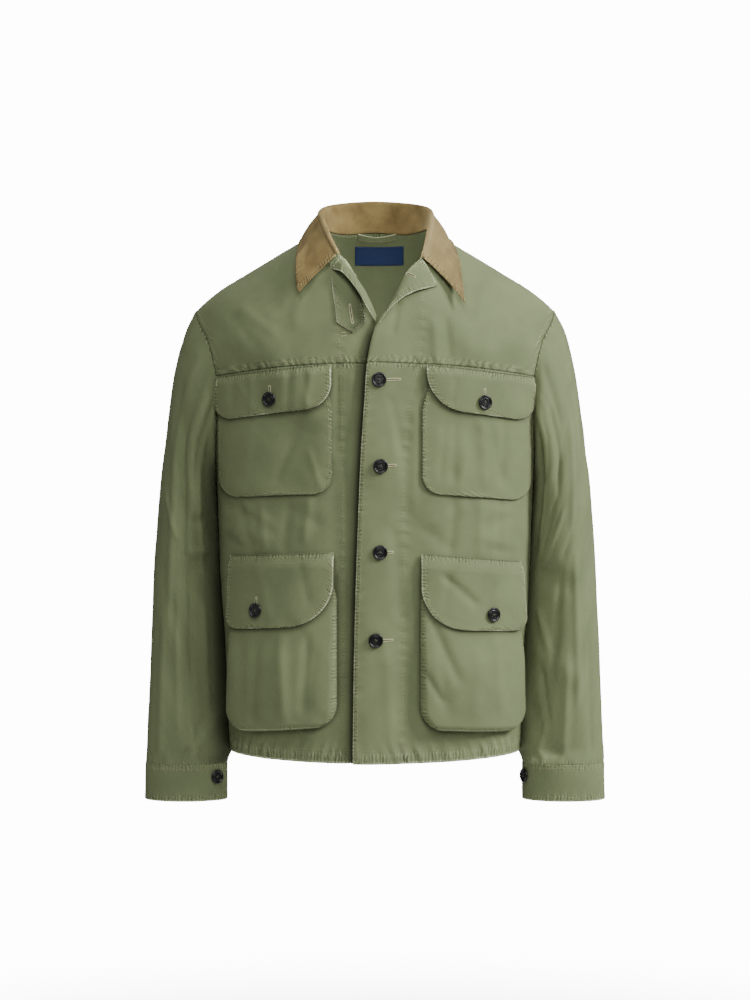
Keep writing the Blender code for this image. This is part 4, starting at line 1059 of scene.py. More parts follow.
# Folds from one angle and share of the length to another; 90 degrees is the front, 0 the outside.
SLEEVE_FOLDS = table(
    "hand angle1 share1 angle2 share2 width depth",
    (1, 118, 0.14, 150, 0.50, 13, -6.0),
    (1, 88, 0.05, 110, 0.34, 17, 4.0),
    (1, 40, 0.22, 100, 0.36, 16, -3.6),
    (1, 132, 0.55, 70, 0.64, 13, -4.4),
    (1, 138, 0.72, 60, 0.80, 12, 3.6),
    (1, 140, 0.82, 96, 0.97, 12, -4.2),
    (1, 300, 0.20, 230, 0.42, 18, -4.0),
    (1, 310, 0.52, 225, 0.60, 15, -3.6),
    (1, 250, 0.70, 300, 0.90, 15, 3.2),
    (-1, 116, 0.12, 140, 0.46, 13, -5.4),
    (-1, 80, 0.06, 100, 0.40, 18, 4.0),
    (-1, 50, 0.20, 84, 0.48, 16, -3.2),
    (-1, 134, 0.50, 80, 0.62, 14, -3.8),
    (-1, 60, 0.66, 120, 0.78, 13, -3.4),
    (-1, 136, 0.84, 90, 0.95, 12, 3.4),
    (-1, 295, 0.22, 235, 0.44, 18, -4.0),
    (-1, 240, 0.50, 305, 0.62, 15, -3.4),
    (-1, 255, 0.72, 300, 0.88, 15, 3.0),
)
SLEEVE_CREASES = table(
    "hand angle1 share1 angle2 share2 width depth",
    (1, 68, 0.04, 76, 0.26, 6, -2.0),
    (1, 98, 0.08, 118, 0.28, 5, 2.2),
    (1, 84, 0.16, 96, 0.40, 6, -2.0),
    (1, 36, 0.10, 48, 0.42, 7, 1.7),
    (1, 60, 0.30, 72, 0.52, 6, 1.8),
    (1, 124, 0.30, 138, 0.46, 5, 2.2),
    (1, 104, 0.40, 128, 0.50, 6, -2.4),
    (1, 88, 0.46, 124, 0.54, 5, 2.0),
    (1, 56, 0.50, 92, 0.56, 6, -1.6),
    (1, 70, 0.58, 68, 0.84, 6, 1.8),
    (1, 96, 0.60, 104, 0.78, 6, -2.0),
    (1, 130, 0.64, 112, 0.73, 5, 2.2),
    (1, 122, 0.76, 108, 0.88, 5, -2.2),
    (1, 84, 0.76, 88, 0.96, 6, 1.8),
    (1, 48, 0.72, 46, 0.96, 7, -1.6),
    (1, 112, 0.86, 124, 0.97, 5, 2.0),
    (1, 330, 0.12, 290, 0.32, 8, 1.6),
    (1, 260, 0.34, 236, 0.52, 7, -1.7),
    (1, 320, 0.60, 270, 0.72, 7, -1.6),
    (1, 240, 0.82, 280, 0.97, 7, 1.6),
    (-1, 74, 0.04, 76, 0.40, 6, -2.4),
    (-1, 58, 0.08, 60, 0.46, 7, 2.0),
    (-1, 96, 0.06, 104, 0.34, 6, -2.4),
    (-1, 84, 0.36, 86, 0.60, 6, -2.0),
    (-1, 66, 0.42, 62, 0.70, 7, 2.0),
    (-1, 108, 0.30, 118, 0.56, 6, 2.2),
    (-1, 124, 0.40, 100, 0.47, 5, -2.0),
    (-1, 128, 0.50, 92, 0.55, 5, 1.8),
    (-1, 44, 0.48, 74, 0.54, 6, 1.4),
    (-1, 96, 0.56, 98, 0.80, 6, -2.2),
    (-1, 76, 0.66, 80, 0.90, 6, 1.8),
    (-1, 116, 0.64, 120, 0.84, 6, 2.0),
    (-1, 52, 0.70, 50, 0.96, 7, 1.6),
    (-1, 92, 0.84, 100, 0.97, 5, 2.2),
    (-1, 112, 0.86, 84, 0.98, 5, -2.0),
    (-1, 330, 0.14, 285, 0.34, 8, 1.6),
    (-1, 262, 0.36, 238, 0.50, 7, -1.7),
    (-1, 318, 0.62, 268, 0.74, 7, -1.6),
    (-1, 236, 0.84, 282, 0.96, 7, 1.6),
)


def evenly(points, shares):
    """Points at equal shares of a line's length, each read from the straight run that it falls on."""
    length = lengths(points[:, :3])
    return np.stack([np.interp(shares * length[-1], length, column) for column in points.T], -1)


def sleeve_surface(edge, hand):
    """A sleeve: slanting ellipses down the arm, which grow out of the armhole's own edge at the top.

    Each place of the edge has a turn round the arm, from how low it lies. The folds and creases
    are troughs over the sleeve laid flat, turn by length.
    """
    spot, out = edge[:, :3], unit(edge[:, 3:])
    span = spot[:, 2].max() - spot[:, 2].min()
    turn = np.arccos(np.clip(1 - 2 * (spot[:, 2].max() - spot[:, 2]) / span, -1, 1))
    turn = np.where(np.arange(len(turn)) > np.argmax(turn), 2 * math.pi - turn, turn)
    shares = np.linspace(0, 1, SLEEVE_ROWS)
    station = np.linspace(0, 1, len(SLEEVE["depth"]))
    get = {}
    for name, column in SLEEVE.items():
        get[name] = along({"at": station, name: column}, "at", name, shares)[:, None]
    cos = np.cos(turn)[None, :]
    sin = np.sin(turn)[None, :]
    ends = (soft(shares / 0.12) * (1 - soft((shares - 0.94) / 0.06)))[:, None]
    low = soft((shares - 0.35) / 0.3)[:, None] * ends
    x = mix(get["inner_x"] - SLEEVE_CLOSER * ends - SLEEVE_LOW_CLOSER * low, get["outer_x"], (1 + cos) / 2)
    z = mix(get["inner_z"], get["outer_z"], (1 + cos) / 2)
    y = get["middle_y"] - get["depth"] * sin + SLEEVE_BACK * low * ((1 - cos) / 2) ** 2
    tube = np.stack([hand * x, y, z], -1)
    grown = (spot + out * SLEEVE_STANDOFF)[None] + tube - tube[:1]
    points = mix(grown, tube, soft(shares / 0.34)[:, None, None])
    across = turn[None, :] * SLEEVE_RADIUS
    down = shares[:, None] * SLEEVE_LENGTH
    total = np.zeros(points.shape[:2])
    for rows, gain in zip((SLEEVE_FOLDS, SLEEVE_CREASES), SLEEVE_GAINS):
        for side, angle1, share1, angle2, share2, width, depth in zip(*rows.values()):
            if side == hand:
                arc1 = math.radians(angle1) * SLEEVE_RADIUS
                arc2 = math.radians(angle2) * SLEEVE_RADIUS
                ends = (arc1, share1 * SLEEVE_LENGTH, arc2, share2 * SLEEVE_LENGTH)
                total = total + gain * depth * trough(across, down, *ends, width)
    total = total + 1.2 * crumple(across + 0 * down, down + 0 * across, 5.0 + hand)
    total = total + 0.5 * crumple(across * 2.6 + 0 * down, down * 1.5 + 0 * across, 1.0 + hand)
    by_body = np.exp(-(((np.degrees(turn) - 180) / 34) ** 2))[None, :]
    total = np.where(total > 0, total * (1 - by_body), total * (1 - 0.8 * by_body))
    total = total * soft(shares / 0.08)[:, None] * soft((1 - shares) / 0.03)[:, None]
    head = pucker(down, across, 9.0, 8.0, 0.5, 15.0, 2.0 * hand)
    foot = pucker(SLEEVE_LENGTH - down, across, 8.0, 16.0, 1.1, 19.0, 3.0 * hand)
    total = total + (head + foot) * (1 - by_body)
    way_out = facing(grid_normals(points, tube=True), tube - tube.mean(1, keepdims=True))
    points = points + way_out * total[..., None]
    wear_and_painted_light = 0.15 * np.clip(total / 3, 0, 1) + 0.2 * stitch_wear(SLEEVE_LENGTH - down, 1.0, 4.0)
    seam = seam_map((down, across + 300 * hand, 9.0, 0.5), (SLEEVE_LENGTH - down, across, 10.0, PRESSED_OPEN))
    # Painted shade on the left sleeve's side next to the body, and painted light there on the right one.
    painted_by_body = SLEEVE_PAINTED_SHADE[hand] * np.exp(-(((np.degrees(turn) - SLEEVE_PAINTED_SHADE_AT) / 36) ** 2))[None, :]
    wear_and_painted_light = np.clip(wear_and_painted_light, 0, 1) - painted_by_body * soft(shares / 0.2)[:, None]
    return points, facing(grid_normals(points, tube=True), way_out), wear_and_painted_light, seam


front_armpit = int(np.argmax(fronts[1][0][:, -1, 2] < ARMPIT))
sleeves = {}
for word, hand in HANDS.items():
    column = -1 if hand > 0 else 0
    pairs = [(yokes[hand], slice(None), -1), (fronts[hand], slice(1, front_armpit), -1)]
    loop = [np.concatenate([panel[0][rows, k], panel[1][rows, k]], 1) for panel, rows, k in pairs]
    behind = np.concatenate([back_points[:, column], back_out[:, column]], 1)
    loop.append(behind[BACK_UPPER_ROWS - 1 : 2 : -1])
    edge = evenly(np.concatenate(loop), np.linspace(0, 1, SLEEVE_COLUMNS + 1)[:-1])
    points, out, wear_and_painted_light, seam = sleeve_surface(edge, hand)
    sleeves[hand] = points, out
    piece = cloth(f"sleeve_{word}_cloth", points, out, TWILL_WALL, twill, tube=True, wear_and_painted_light=wear_and_painted_light, seam=seam)
    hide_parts(f"sleeve_{word}")

# ================================================================== the cuffs
# Bands of doubled twill, stitched round all their edges. Their ends lap on the inner side of the
# wrist, and a button goes through the upper end.
CUFF_TOP = -716.8
CUFF_HEIGHT = 48.0
CUFF_OUTER_X = (307.6, 309.2)
CUFF_INNER_X = 198.6
CUFF_DEPTH = (40.0, 39.0)
CUFF_MIDDLE_Y = -9.0
CUFF_LAP = 2.5
CUFF_UNDER = 0.46
CUFF_STEP = 0.3
CUFF_TURN = math.radians(385)
CUFF_BEFORE_BUTTON = CUFF_TURN * 30 / 33
CUFF_BUTTON_ANGLE = {"left": 138.0, "right": 160.0}
CUFF_WALL = 1.7
cuffs = {}
for word, hand in HANDS.items():
    first = math.radians(CUFF_BUTTON_ANGLE[word] + 360) - CUFF_BEFORE_BUTTON
    turns = first + np.linspace(0, CUFF_TURN, 171)
    shares = np.linspace(0, 1, 27)[:, None]
    lap = CUFF_LAP * (1 - soft((turns - first - CUFF_UNDER) / CUFF_STEP))
    outer_x = mix(*CUFF_OUTER_X, shares)
    radius = (outer_x - CUFF_INNER_X) / 2
    x = (outer_x + CUFF_INNER_X) / 2 + (radius - lap) * np.cos(turns)
    y = CUFF_MIDDLE_Y - (mix(*CUFF_DEPTH, shares) - lap) * np.sin(turns)
    points = np.stack([hand * x, y, CUFF_TOP - CUFF_HEIGHT * shares + 0 * turns], -1)
    lift, wear_and_painted_light, seam = sewn(
        points,
        ("top", 5.0, 6.0, 0.55, 12.0, 1.5 + hand),
        ("bottom", 5.0, 6.0, 0.6, 13.0, 2.5 + hand),
        ("right", 5.0, 6.0, 0.3, 12.0, 3.5 + hand),
        joined=("top",),
    )
    seam[..., 2] = np.where(seam[..., 2] == 0.5, PRESSED_OPEN, seam[..., 2])
    worn = crumple(points[..., 0] * 2.4, points[..., 2] * 1.2, 4.0)
    lift = lift + worn * soft((turns - first - 0.9) / 0.3)
    lift = lift * (1 - 0.75 * np.exp(-(((np.cos(turns) + 1) / 0.25) ** 2)))
    cuffs[hand] = points, out = lifted(points, grid_normals(points) * -hand, lift)
    piece = cloth(f"cuff_{word}_cloth", points, out, CUFF_WALL, twill, wear_and_painted_light=wear_and_painted_light, seam=seam)
    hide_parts(f"cuff_{word}")
    lines = [inset_line(points, out, side, 5.0, 4.0) for side in ("top", "bottom", "right")]
    stitches(f"cuff_{word}_stitching", lines, CUFF_WALL)

# ================================================================== the collar
# One collar of tan fine-wale corduroy: a stand from the neck seam up to the roll, and a fall that
# turns out over it, stitched near its edge. The open front spreads its ends into two points.
CORDUROY_WALL = 1.6
COLLAR_COLUMNS = 241
COLLAR_STAND_ROWS = 15
COLLAR_ROLL_ROWS = 12
COLLAR_FALL_ROWS = 27
COLLAR_SEAM_RISE = 2.25
COLLAR_BOW = 5.0
COLLAR_CLEAR = 5.0  # between the body's middle and the fall's
COLLAR_CLEAR_FRONT = 8.0
COLLAR_STITCH = 6.0
ROLL_STITCH = 3.5
COLLAR_RUBBED = 0.55
RIGHT_END_PAINTED_LIGHT = 0.28  # painted light: its right end is paler all over
NECK_END = {-1: -47.0, 1: -52.0}
CORD_DARK = linear("#665634")
CORD_MAIN = linear("#89764A")
CORD_PALE = linear("#BDAB7E")
CORD_TICK = 4.4  # the puckers across its stitching
CORD_TICKED = 22.0
CORD_TICK_DEPTH = 0.7
# painted highlight on the puckers' ridges and painted shade in their hollows, this strong
CORD_TICK_PAINTED_SHADE = 0.4
CORD_RELIEF = 0.4  # the height of the wales
WALE = 1.7  # drawn a little coarser than the real 1.2 mm, which is too fine to show
# From its left front end round the back to its right one: the roll line, the outer edge, the roll.
COLLAR = table(
    "share fold_x fold_y fold_z edge_x edge_y edge_z roll",
    (0.00, -47, -89, -40, -100, -103, -98, 2.2),
    (0.10, -59, -60, -13, -104, -86, -66, 2.9),
    (0.19, -67, -26, 10, -103, -42, -33, 3.3),
    (0.28, -71.5, 6, 28, -97, 6, -10, 3.5),
    (0.38, -55, 46, 41, -78, 70, -19, 3.6),
    (0.50, 1, 67, 48, 1, 100, -18, 3.6),
    (0.62, 57, 46, 41, 82, 70, -20, 3.6),
    (0.72, 73, 6, 28, 99, 6, -12, 3.5),
    (0.81, 72, -26, 7, 109, -44, -44, 3.3),
    (0.90, 68.5, -58, -15, 114, -88, -76, 2.9),
    (1.00, 61, -85, -44, 117, -106, -109, 2.2),
)


def corduroy_cloth():
    """Fine-wale cotton corduroy: cut pile in ribs along the second flat side, worn pale on edges, with painted
    light on the collar's right end.
    """
    sheen = {"Sheen Weight": 0.5, "Sheen Roughness": 0.45, "Sheen Tint": CORD_PALE}
    made, shader = material("fine-wale corduroy", {"Roughness": 0.92, "Specular IOR Level": 0.2, **sheen})
    flat = add(made, "UVMap", uv_map="flat")
    worn = add(made, "Attribute", attribute_name="wear_and_painted_light").outputs["Fac"]
    ribs = {"Vector": flat, "Scale": WAVE / (WALE * MM), "Distortion": 0.5, "Detail": 1.0}
    ribs = add(made, "TexWave", ribs, wave_type="BANDS", bands_direction="X").outputs["Fac"]
    clouds = add(made, "TexNoise", {"Vector": flat, "Scale": 38.0, "Detail": 5.0})
    pile = add(made, "TexNoise", {"Vector": flat, "Scale": 900.0, "Detail": 2.0})
    _, ticks, _ = cross_ticks(made, CORD_TICK, CORD_TICKED)
    tone = add(made, "Mix", {"Factor": 0.35, "A": clouds, "B": pile})
    ground = blend(made, add(made, "MapRange", (tone, 0.36, 0.62, 0.0, 1.0)), CORD_DARK, CORD_MAIN)
    rubbed_and_painted_light = blend(made, worn, ground, CORD_PALE)
    grooves = add(made, "MapRange", (ribs, 0.0, 0.5, 0.86, 1.03))
    # Painted highlight on the puckers' ridges and painted shade in their hollows.
    tick_painted_shade = add(made, "Math", (ticks, CORD_TICK_PAINTED_SHADE, 1.0), operation="MULTIPLY_ADD")
    shade = times(made, grooves, tick_painted_shade)
    colour = add(made, "VectorMath", {0: rubbed_and_painted_light, "Scale": shade}, operation="SCALE")
    gathered = add(made, "Bump", {"Height": ticks, "Strength": 1.0, "Distance": CORD_TICK_DEPTH * MM})
    relief = add(made, "Math", (ribs, 0.8, pile), operation="MULTIPLY_ADD")
    relief = {"Height": relief, "Strength": 0.6, "Distance": CORD_RELIEF * MM, "Normal": gathered}
    connect(shader, {"Base Color": colour, "Normal": add(made, "Bump", relief)})
    return made


def clear_of_body(points, gap):
    """Points pushed out where they lie within a gap of the body: its rounded section, grown by it."""
    x, y, z = np.moveaxis(points, -1, 0)
    side = np.where(y < RIDGE_Y, -1, 1)
    depth = np.where(side < 0, along(BODY, "height", "front", z), along(BODY, "height", "back", z))
    width = along(BODY, "height", "half_width", z)
    depth = depth * (1 - np.clip(np.abs(x) / width, 0, 0.99) ** 2.3) ** (1 / 2.3)
    deep = np.abs(y - RIDGE_Y) / depth
    high = 1 - np.minimum((shoulder_line(x) - z) / ROUND, 1)
    reach = np.hypot(deep, high)
    scale = np.hypot(deep * depth, high * ROUND) / np.maximum(reach, 1e-6)
    grow = np.maximum(1 + gap / scale, reach) / np.maximum(reach, 1e-6)
    clear_z = shoulder_line(x) - ROUND * (1 - high * grow)
    return np.stack([x, RIDGE_Y + side * deep * grow * depth, np.where(high > 0, clear_z, z)], -1)


def collar_surface(neck, shares):
    """The collar: stand, round roll and fall, from the neck seam up and out, column by column.

    The stand runs straight from the seam to the roll's foot, the roll is half a circle, and the
    fall bows out between the roll and the edge. At both front ends the stand folds away.
    """
    fold = np.stack([along(COLLAR, "share", f"fold_{k}", shares) for k in "xyz"], -1)
    edge = np.stack([along(COLLAR, "share", f"edge_{k}", shares) for k in "xyz"], -1)
    roll = along(COLLAR, "share", "roll", shares)[:, None]
    seam = evenly(neck, shares) + [0, 0, COLLAR_SEAM_RISE]
    run = unit(np.gradient(fold, axis=0))
    outward = edge - fold
    outward = unit(outward - run * np.sum(outward * run, -1, keepdims=True))
    flat = outward * [1, 1, 0.15]
    flat = unit(flat - run * np.sum(flat * run, -1, keepdims=True))
    up = unit(np.cross(run, flat))
    up = up * np.sign(up[:, 2:] - 0.5 * up[:, 1:2])
    heart = fold + flat * roll - up * roll
    base = heart - flat * roll
    ending = soft((np.abs(shares - 0.5) - 0.41) / 0.09)[:, None]
    seam = mix(seam, base - up * 1.5, ending)
    rows = [mix(seam, base, t) for t in np.linspace(0, 1, COLLAR_STAND_ROWS, endpoint=False)]
    for turn in np.linspace(math.pi, 0, COLLAR_ROLL_ROWS, endpoint=False):
        rows.append(heart + roll * (math.cos(turn) * flat + math.sin(turn) * up))
    at_end = soft((np.abs(shares - 0.5) - 0.32) / 0.04)
    for t in np.linspace(0, 1, COLLAR_FALL_ROWS):
        fall = mix(heart + flat * roll, edge, t)
        fall = fall + flat * COLLAR_BOW * math.sin(math.pi * t) * (1 - 0.5 * t)
        gap = COLLAR_CLEAR * (0.8 + 0.2 * t) + COLLAR_CLEAR_FRONT * at_end * t
        rows.append(mix(fall, clear_of_body(fall, gap), soft(t / 0.2)))
    return np.array(rows)


neck_rows = {hand: yokes[hand][0][:, 0] for hand in HANDS.values()}
neck_left = neck_rows[-1][neck_rows[-1][:, 2] > NECK_END[-1]][::-1]
neck_right = neck_rows[1][neck_rows[1][:, 2] > NECK_END[1]]
neck_back = back_points[0]
within = (neck_back[:, 0] > neck_left[-1, 0]) & (neck_back[:, 0] < neck_right[0, 0])
neck_line = np.concatenate([neck_left, neck_back[within], neck_right])
collar_shares = np.linspace(0, 1, COLLAR_COLUMNS)
collar_points = collar_surface(neck_line, collar_shares)
heart_line = collar_points[COLLAR_STAND_ROWS + COLLAR_ROLL_ROWS // 2]
collar_out = grid_normals(collar_points)
if np.mean((collar_points[-8, 90:150] - heart_line[90:150]) * collar_out[-8, 90:150]) < 0:
    collar_out = -collar_out
reach = ways(collar_points)
lift, collar_wear_and_painted_light, collar_seam = sewn(
    collar_points,
    ("bottom", COLLAR_STITCH, 6.0, 0.55, 8.5, 1.0),
    ("left", COLLAR_STITCH, 6.0, 0.5, 8.0, 2.0),
    ("right", COLLAR_STITCH, 6.0, 0.5, 8.5, 3.0),
)
roll_at = reach["top"][COLLAR_STAND_ROWS + COLLAR_ROLL_ROWS // 2]
past_roll = np.abs(reach["top"] - roll_at - ROLL_STITCH)
in_front = soft((np.abs(collar_shares - 0.5) - 0.2) / 0.08)
lift = lift + pucker(past_roll, reach["left"], 0.0, 5.0, 0.55, 7.0, 4.0) * in_front
collar_wear_and_painted_light = collar_wear_and_painted_light + 0.6 * np.exp(-((past_roll / 4) ** 2)) * in_front
lift = lift + 0.7 * crumple(reach["left"], reach["top"] * 1.4, 9.0) * soft(reach["top"] / 12)
collar_points, collar_out = lifted(collar_points, collar_out, lift)
tan_thread, _ = material("tan cotton thread", {"Base Color": linear("#8A7748"), "Roughness": 0.75})
corduroy = corduroy_cloth()
# The right end's extra paleness is painted light.
collar_wear_and_painted_light = COLLAR_RUBBED * collar_wear_and_painted_light + RIGHT_END_PAINTED_LIGHT * soft((collar_shares - 0.68) / 0.1)
collar_wear_and_painted_light = np.clip(collar_wear_and_painted_light, 0, 1)
looks = {"wear_and_painted_light": collar_wear_and_painted_light, "seam": collar_seam}
collar = cloth("collar_cloth", collar_points, collar_out, CORDUROY_WALL, corduroy, **looks)
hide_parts("collar")
lines = [inset_line(collar_points, collar_out, "bottom", COLLAR_STITCH, 4.0)]
for side in ("left", "right"):
    line, way = inset_line(collar_points, collar_out, side, COLLAR_STITCH)
    lines.append((line[COLLAR_STAND_ROWS + COLLAR_ROLL_ROWS :], way[COLLAR_STAND_ROWS + COLLAR_ROLL_ROWS :]))
stitches("collar_stitching", lines, CORDUROY_WALL, tan_thread)

# ================================================================== the lapels
# The twill facings of the two fronts, turned out below the collar's ends to lie on the yokes, with
# topstitched edges.
LAYER = 2.2  # from one layer of cloth to the next, middle to middle
LAPEL_ROLL = 2.2
LAPEL_STANDOFF = {-1: 0.0, 1: 0.5}
LAPEL_LAYERS = {-1: 2, 1: 1}
LAPEL_STANDS = {-1: 9.0, 1: 3.5}  # its free edge stands this much higher
LAPEL_STITCH = 4.5
LAPEL = {
    -1: table(
        "share roll_x roll_z edge_x edge_z",
        (0.0, -42.5, -48, -55, -64),
        (0.3, -35.4, -56, -38, -76),
        (0.6, -21.8, -80, -21.7, -97.5),
        (0.85, -9.4, -101, -8.4, -120),
        (1.0, 0.5, -125, 0.8, -134),
    ),
    1: table(
        "share roll_x roll_z edge_x edge_z",
        (0.0, 60.5, -48, 80, -85.5),
        (0.25, 43.2, -66, 52, -95),
        (0.5, 31.3, -88, 33, -105),
        (0.75, 19, -112, 18, -119),
        (1.0, 8, -128, 4.5, -138),
    ),
}
lapels = {}
for word, hand in HANDS.items():
    share = np.linspace(0, 1, 91)[:, None]
    across = np.linspace(0, 1, 31)[None, :]
    get = {key: along(LAPEL[hand], "share", key, share) for key in ("roll_x", "roll_z", "edge_x", "edge_z")}
    x = mix(get["roll_x"], get["edge_x"], across)
    z = mix(get["roll_z"], get["edge_z"], across)
    rise = LAPEL_ROLL * np.sin(math.pi * across) * (1 - soft((share - 0.7) / 0.3))
    rise = rise + LAPEL_STANDS[hand] * across * soft(share / 0.25) * (1 - soft((share - 0.7) / 0.3))
    rest = LAPEL_LAYERS[hand] * LAYER + LAPEL_STANDOFF[hand]
    points, out = on_front(x, z, rest + rise)
    lift, wear_and_painted_light, seam = sewn(
        points,
        ("right", LAPEL_STITCH, 5.0, 0.4, 11.0, 1.0 + hand),
        ("top", LAPEL_STITCH, 5.0, 0.35, 10.0, 2.0 + hand),
    )
    lift = lift + 0.6 * crumple(x * 1.6 + 0 * z, z * 1.6 + 0 * x, 3.0 + hand)
    lapels[hand] = points, out = lifted(points, out, lift)
    piece = cloth(f"lapel_{word}_cloth", points, out, TWILL_WALL, twill, wear_and_painted_light=wear_and_painted_light, seam=seam)
    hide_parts(f"lapel_{word}")
    lines = [inset_line(points, out, "right", LAPEL_STITCH, 3.0)]
    if hand > 0:
        lines.append(inset_line(points, out, "top", LAPEL_STITCH, 3.0))
    stitches(f"lapel_{word}_stitching", lines)

# ================================================================== the throat tab
# A pointed tab of doubled twill under the left lapel, stitched round its edge, with a buttonhole.
TAB_WALL = 1.6
TAB_STITCH = 3.0
THROAT_TAB = table(
    "share left_x left_z right_x right_z",
    (0.0, -58, -54, -20, -92),
    (0.35, -55, -90, -17, -108),
    (0.80, -49.5, -132, -12.5, -130),
    (0.83, -48.5, -135, -12.8, -133),
    (1.0, -29.5, -147.5, -27.5, -147.5),
)
share = np.linspace(0, 1, 67)[:, None]
across = np.linspace(0, 1, 33)[None, :]
get = {key: np.interp(share, THROAT_TAB["share"], THROAT_TAB[key]) for key in THROAT_TAB}
x = mix(get["left_x"], get["right_x"], across)
z = mix(get["left_z"], get["right_z"], across)
points, out = on_front(x, z, LAYER)
lift, wear_and_painted_light, seam = sewn(
    points,
    ("left", TAB_STITCH, 3.0, 0.3, 9.0, 1.0),
    ("right", TAB_STITCH, 3.0, 0.3, 9.0, 2.0),
    ("bottom", TAB_STITCH, 3.0, 0.2, 9.0, 3.0),
)
# Painted shadow of the left lapel along the tab's right side, as values below 0.
wear_and_painted_light = wear_and_painted_light - 0.8 * np.exp(-((ways(points)["right"] / 15) ** 2))
tab = points, out = lifted(points, out, lift + 0.5 * crumple(x * 2, z * 2, 1.0))
piece = cloth("throat_tab_cloth", points, out, TAB_WALL, twill, wear_and_painted_light=wear_and_painted_light, seam=seam)
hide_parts("throat_tab")
lines = [inset_line(points, out, side, TAB_STITCH, 3.0) for side in ("left", "right", "bottom")]
stitches("throat_tab_stitching", lines, TAB_WALL)

# ================================================================== the pockets and their flaps
# Patch pockets of the same twill, sewn round the sides and foot, the hip ones full, with a gusset
# that folds in round them. Each has a curved flap, sewn along its top and buttoned to its pocket.
PATCH_LIFT = 0.7
FLAP_LIFT = 1.3
PATCH_COLUMNS = 71
PATCH_ROWS = 85
FLAP_ROWS = 45
FLAP_RISE = {"chest": 12.0, "hip": 19.0}  # a flap takes this far to rise from its seam over its pocket
FLAP_STANDOFF = 0.6
PATCH_STITCH = 4.0
PATCH_PITCH = {"left": 11.0, "right": 12.0, "bottom": 10.0, "top": 9.0}  # how far apart its puckers are
PATCH_PUCKER = 5.0  # how wide they are
PATCH_PUCKER_DEPTH = 0.5
FLAT_PUCKERS = (1.0, 1.7, 0.68)  # a chest pocket's seams are narrower and flatter
POCKET_MOUTH = 2.0
POCKET_BULGE = 13.0
GUSSET = 8.0
RIM = 2.6  # the stitched fold round a hip pocket's face, this far inside its outline
RIM_BAND = 3.8
RIM_RIDGE = 0.35
# Creases pressed into single patches, in the front view's millimetres.
PATCH_CREASES = table(
    "x1 z1 x2 z2 width depth",
    (-92, -248, -128, -338, 6, -1.6),
    (-160, -262, -168, -330, 7, 1.0),
    (-86, -300, -70, -348, 5, 1.1),
    (92, -262, 84, -340, 6, -1.2),
    (150, -270, 166, -344, 7, -1.3),
    (118, -300, 108, -352, 6, 1.0),
    (-168, -545, -160, -640, 8, -1.4),
    (-120, -560, -112, -650, 8, 1.2),
    (-74, -560, -84, -636, 7, -1.2),
    (82, -560, 90, -640, 7, -1.4),
    (128, -556, 122, -650, 8, 1.3),
    (168, -560, 160, -636, 7, -1.3),
    (-150, -450, -132, -520, 6, 1.0),
    (-96, -446, -84, -500, 6, -0.9),
    (96, -450, 88, -506, 6, -0.9),
    (160, -458, 150, -520, 6, 1.0),
    (-178, -212, -160, -246, 5, 0.8),
    (-90, -200, -84, -236, 5, -0.8),
    (170, -216, 160, -248, 5, 0.8),
    (104, -206, 98, -240, 5, -0.8),
)


def patch_plan(size, columns, rows):
    """Places of a patch: upright sides, sloping ends, and lower corners cut in by quarter circles.

    A pocket's upper corners are tucked in under its flap.
    """
    left, right = size["x"]
    share, down = np.meshgrid(columns, rows)
    height = mix(*size["top"], share) - mix(*size["low"], share)
    above = height * (1 - down)
    inset = [r - np.sqrt(r**2 - np.clip(r - above, 0, r) ** 2) for r in size["corner"]]
    tuck = 1 - soft(height * down / 45)
    inset = [cut + aside * tuck for cut, aside in zip(inset, size.get("tuck", (0, 0)))]
    x = mix(left + inset[0], right - inset[1], share)
    return x, mix(*size["top"], share) - height * down, share, down, height


def patch_rows(size, count):
    """Even rows down to the corners, then rows that get closer round them, to the foot."""
    height = min(top - low for top, low in zip(size["top"], size["low"]))
    start = 1 - max(size["corner"]) / height
    above = int(count * min(0.72, start + 0.12))
    curve = np.sin(np.linspace(0, math.pi / 2, count - above + 1)[1:])
    return np.concatenate([np.linspace(0, start, above), start + (1 - start) * curve])


def hip_bulge(share, down):
    """How far a hip pocket's face stands out: little at the mouth, most in the middle below."""
    return POCKET_MOUTH + POCKET_BULGE * soft(down / 0.75) * (0.75 + 0.25 * np.sin(math.pi * share))


def over_pocket(size, x, z):
    """How far a pocket's face lies from the front at places under its flap."""
    share = np.clip((x - size["x"][0]) / (size["x"][1] - size["x"][0]), 0, 1)
    top = mix(*size["top"], share)
    down = np.clip((top - z) / (top - mix(*size["low"], share)), 0, 1)
    return LAYER + PATCH_LIFT + hip_bulge(share, down)


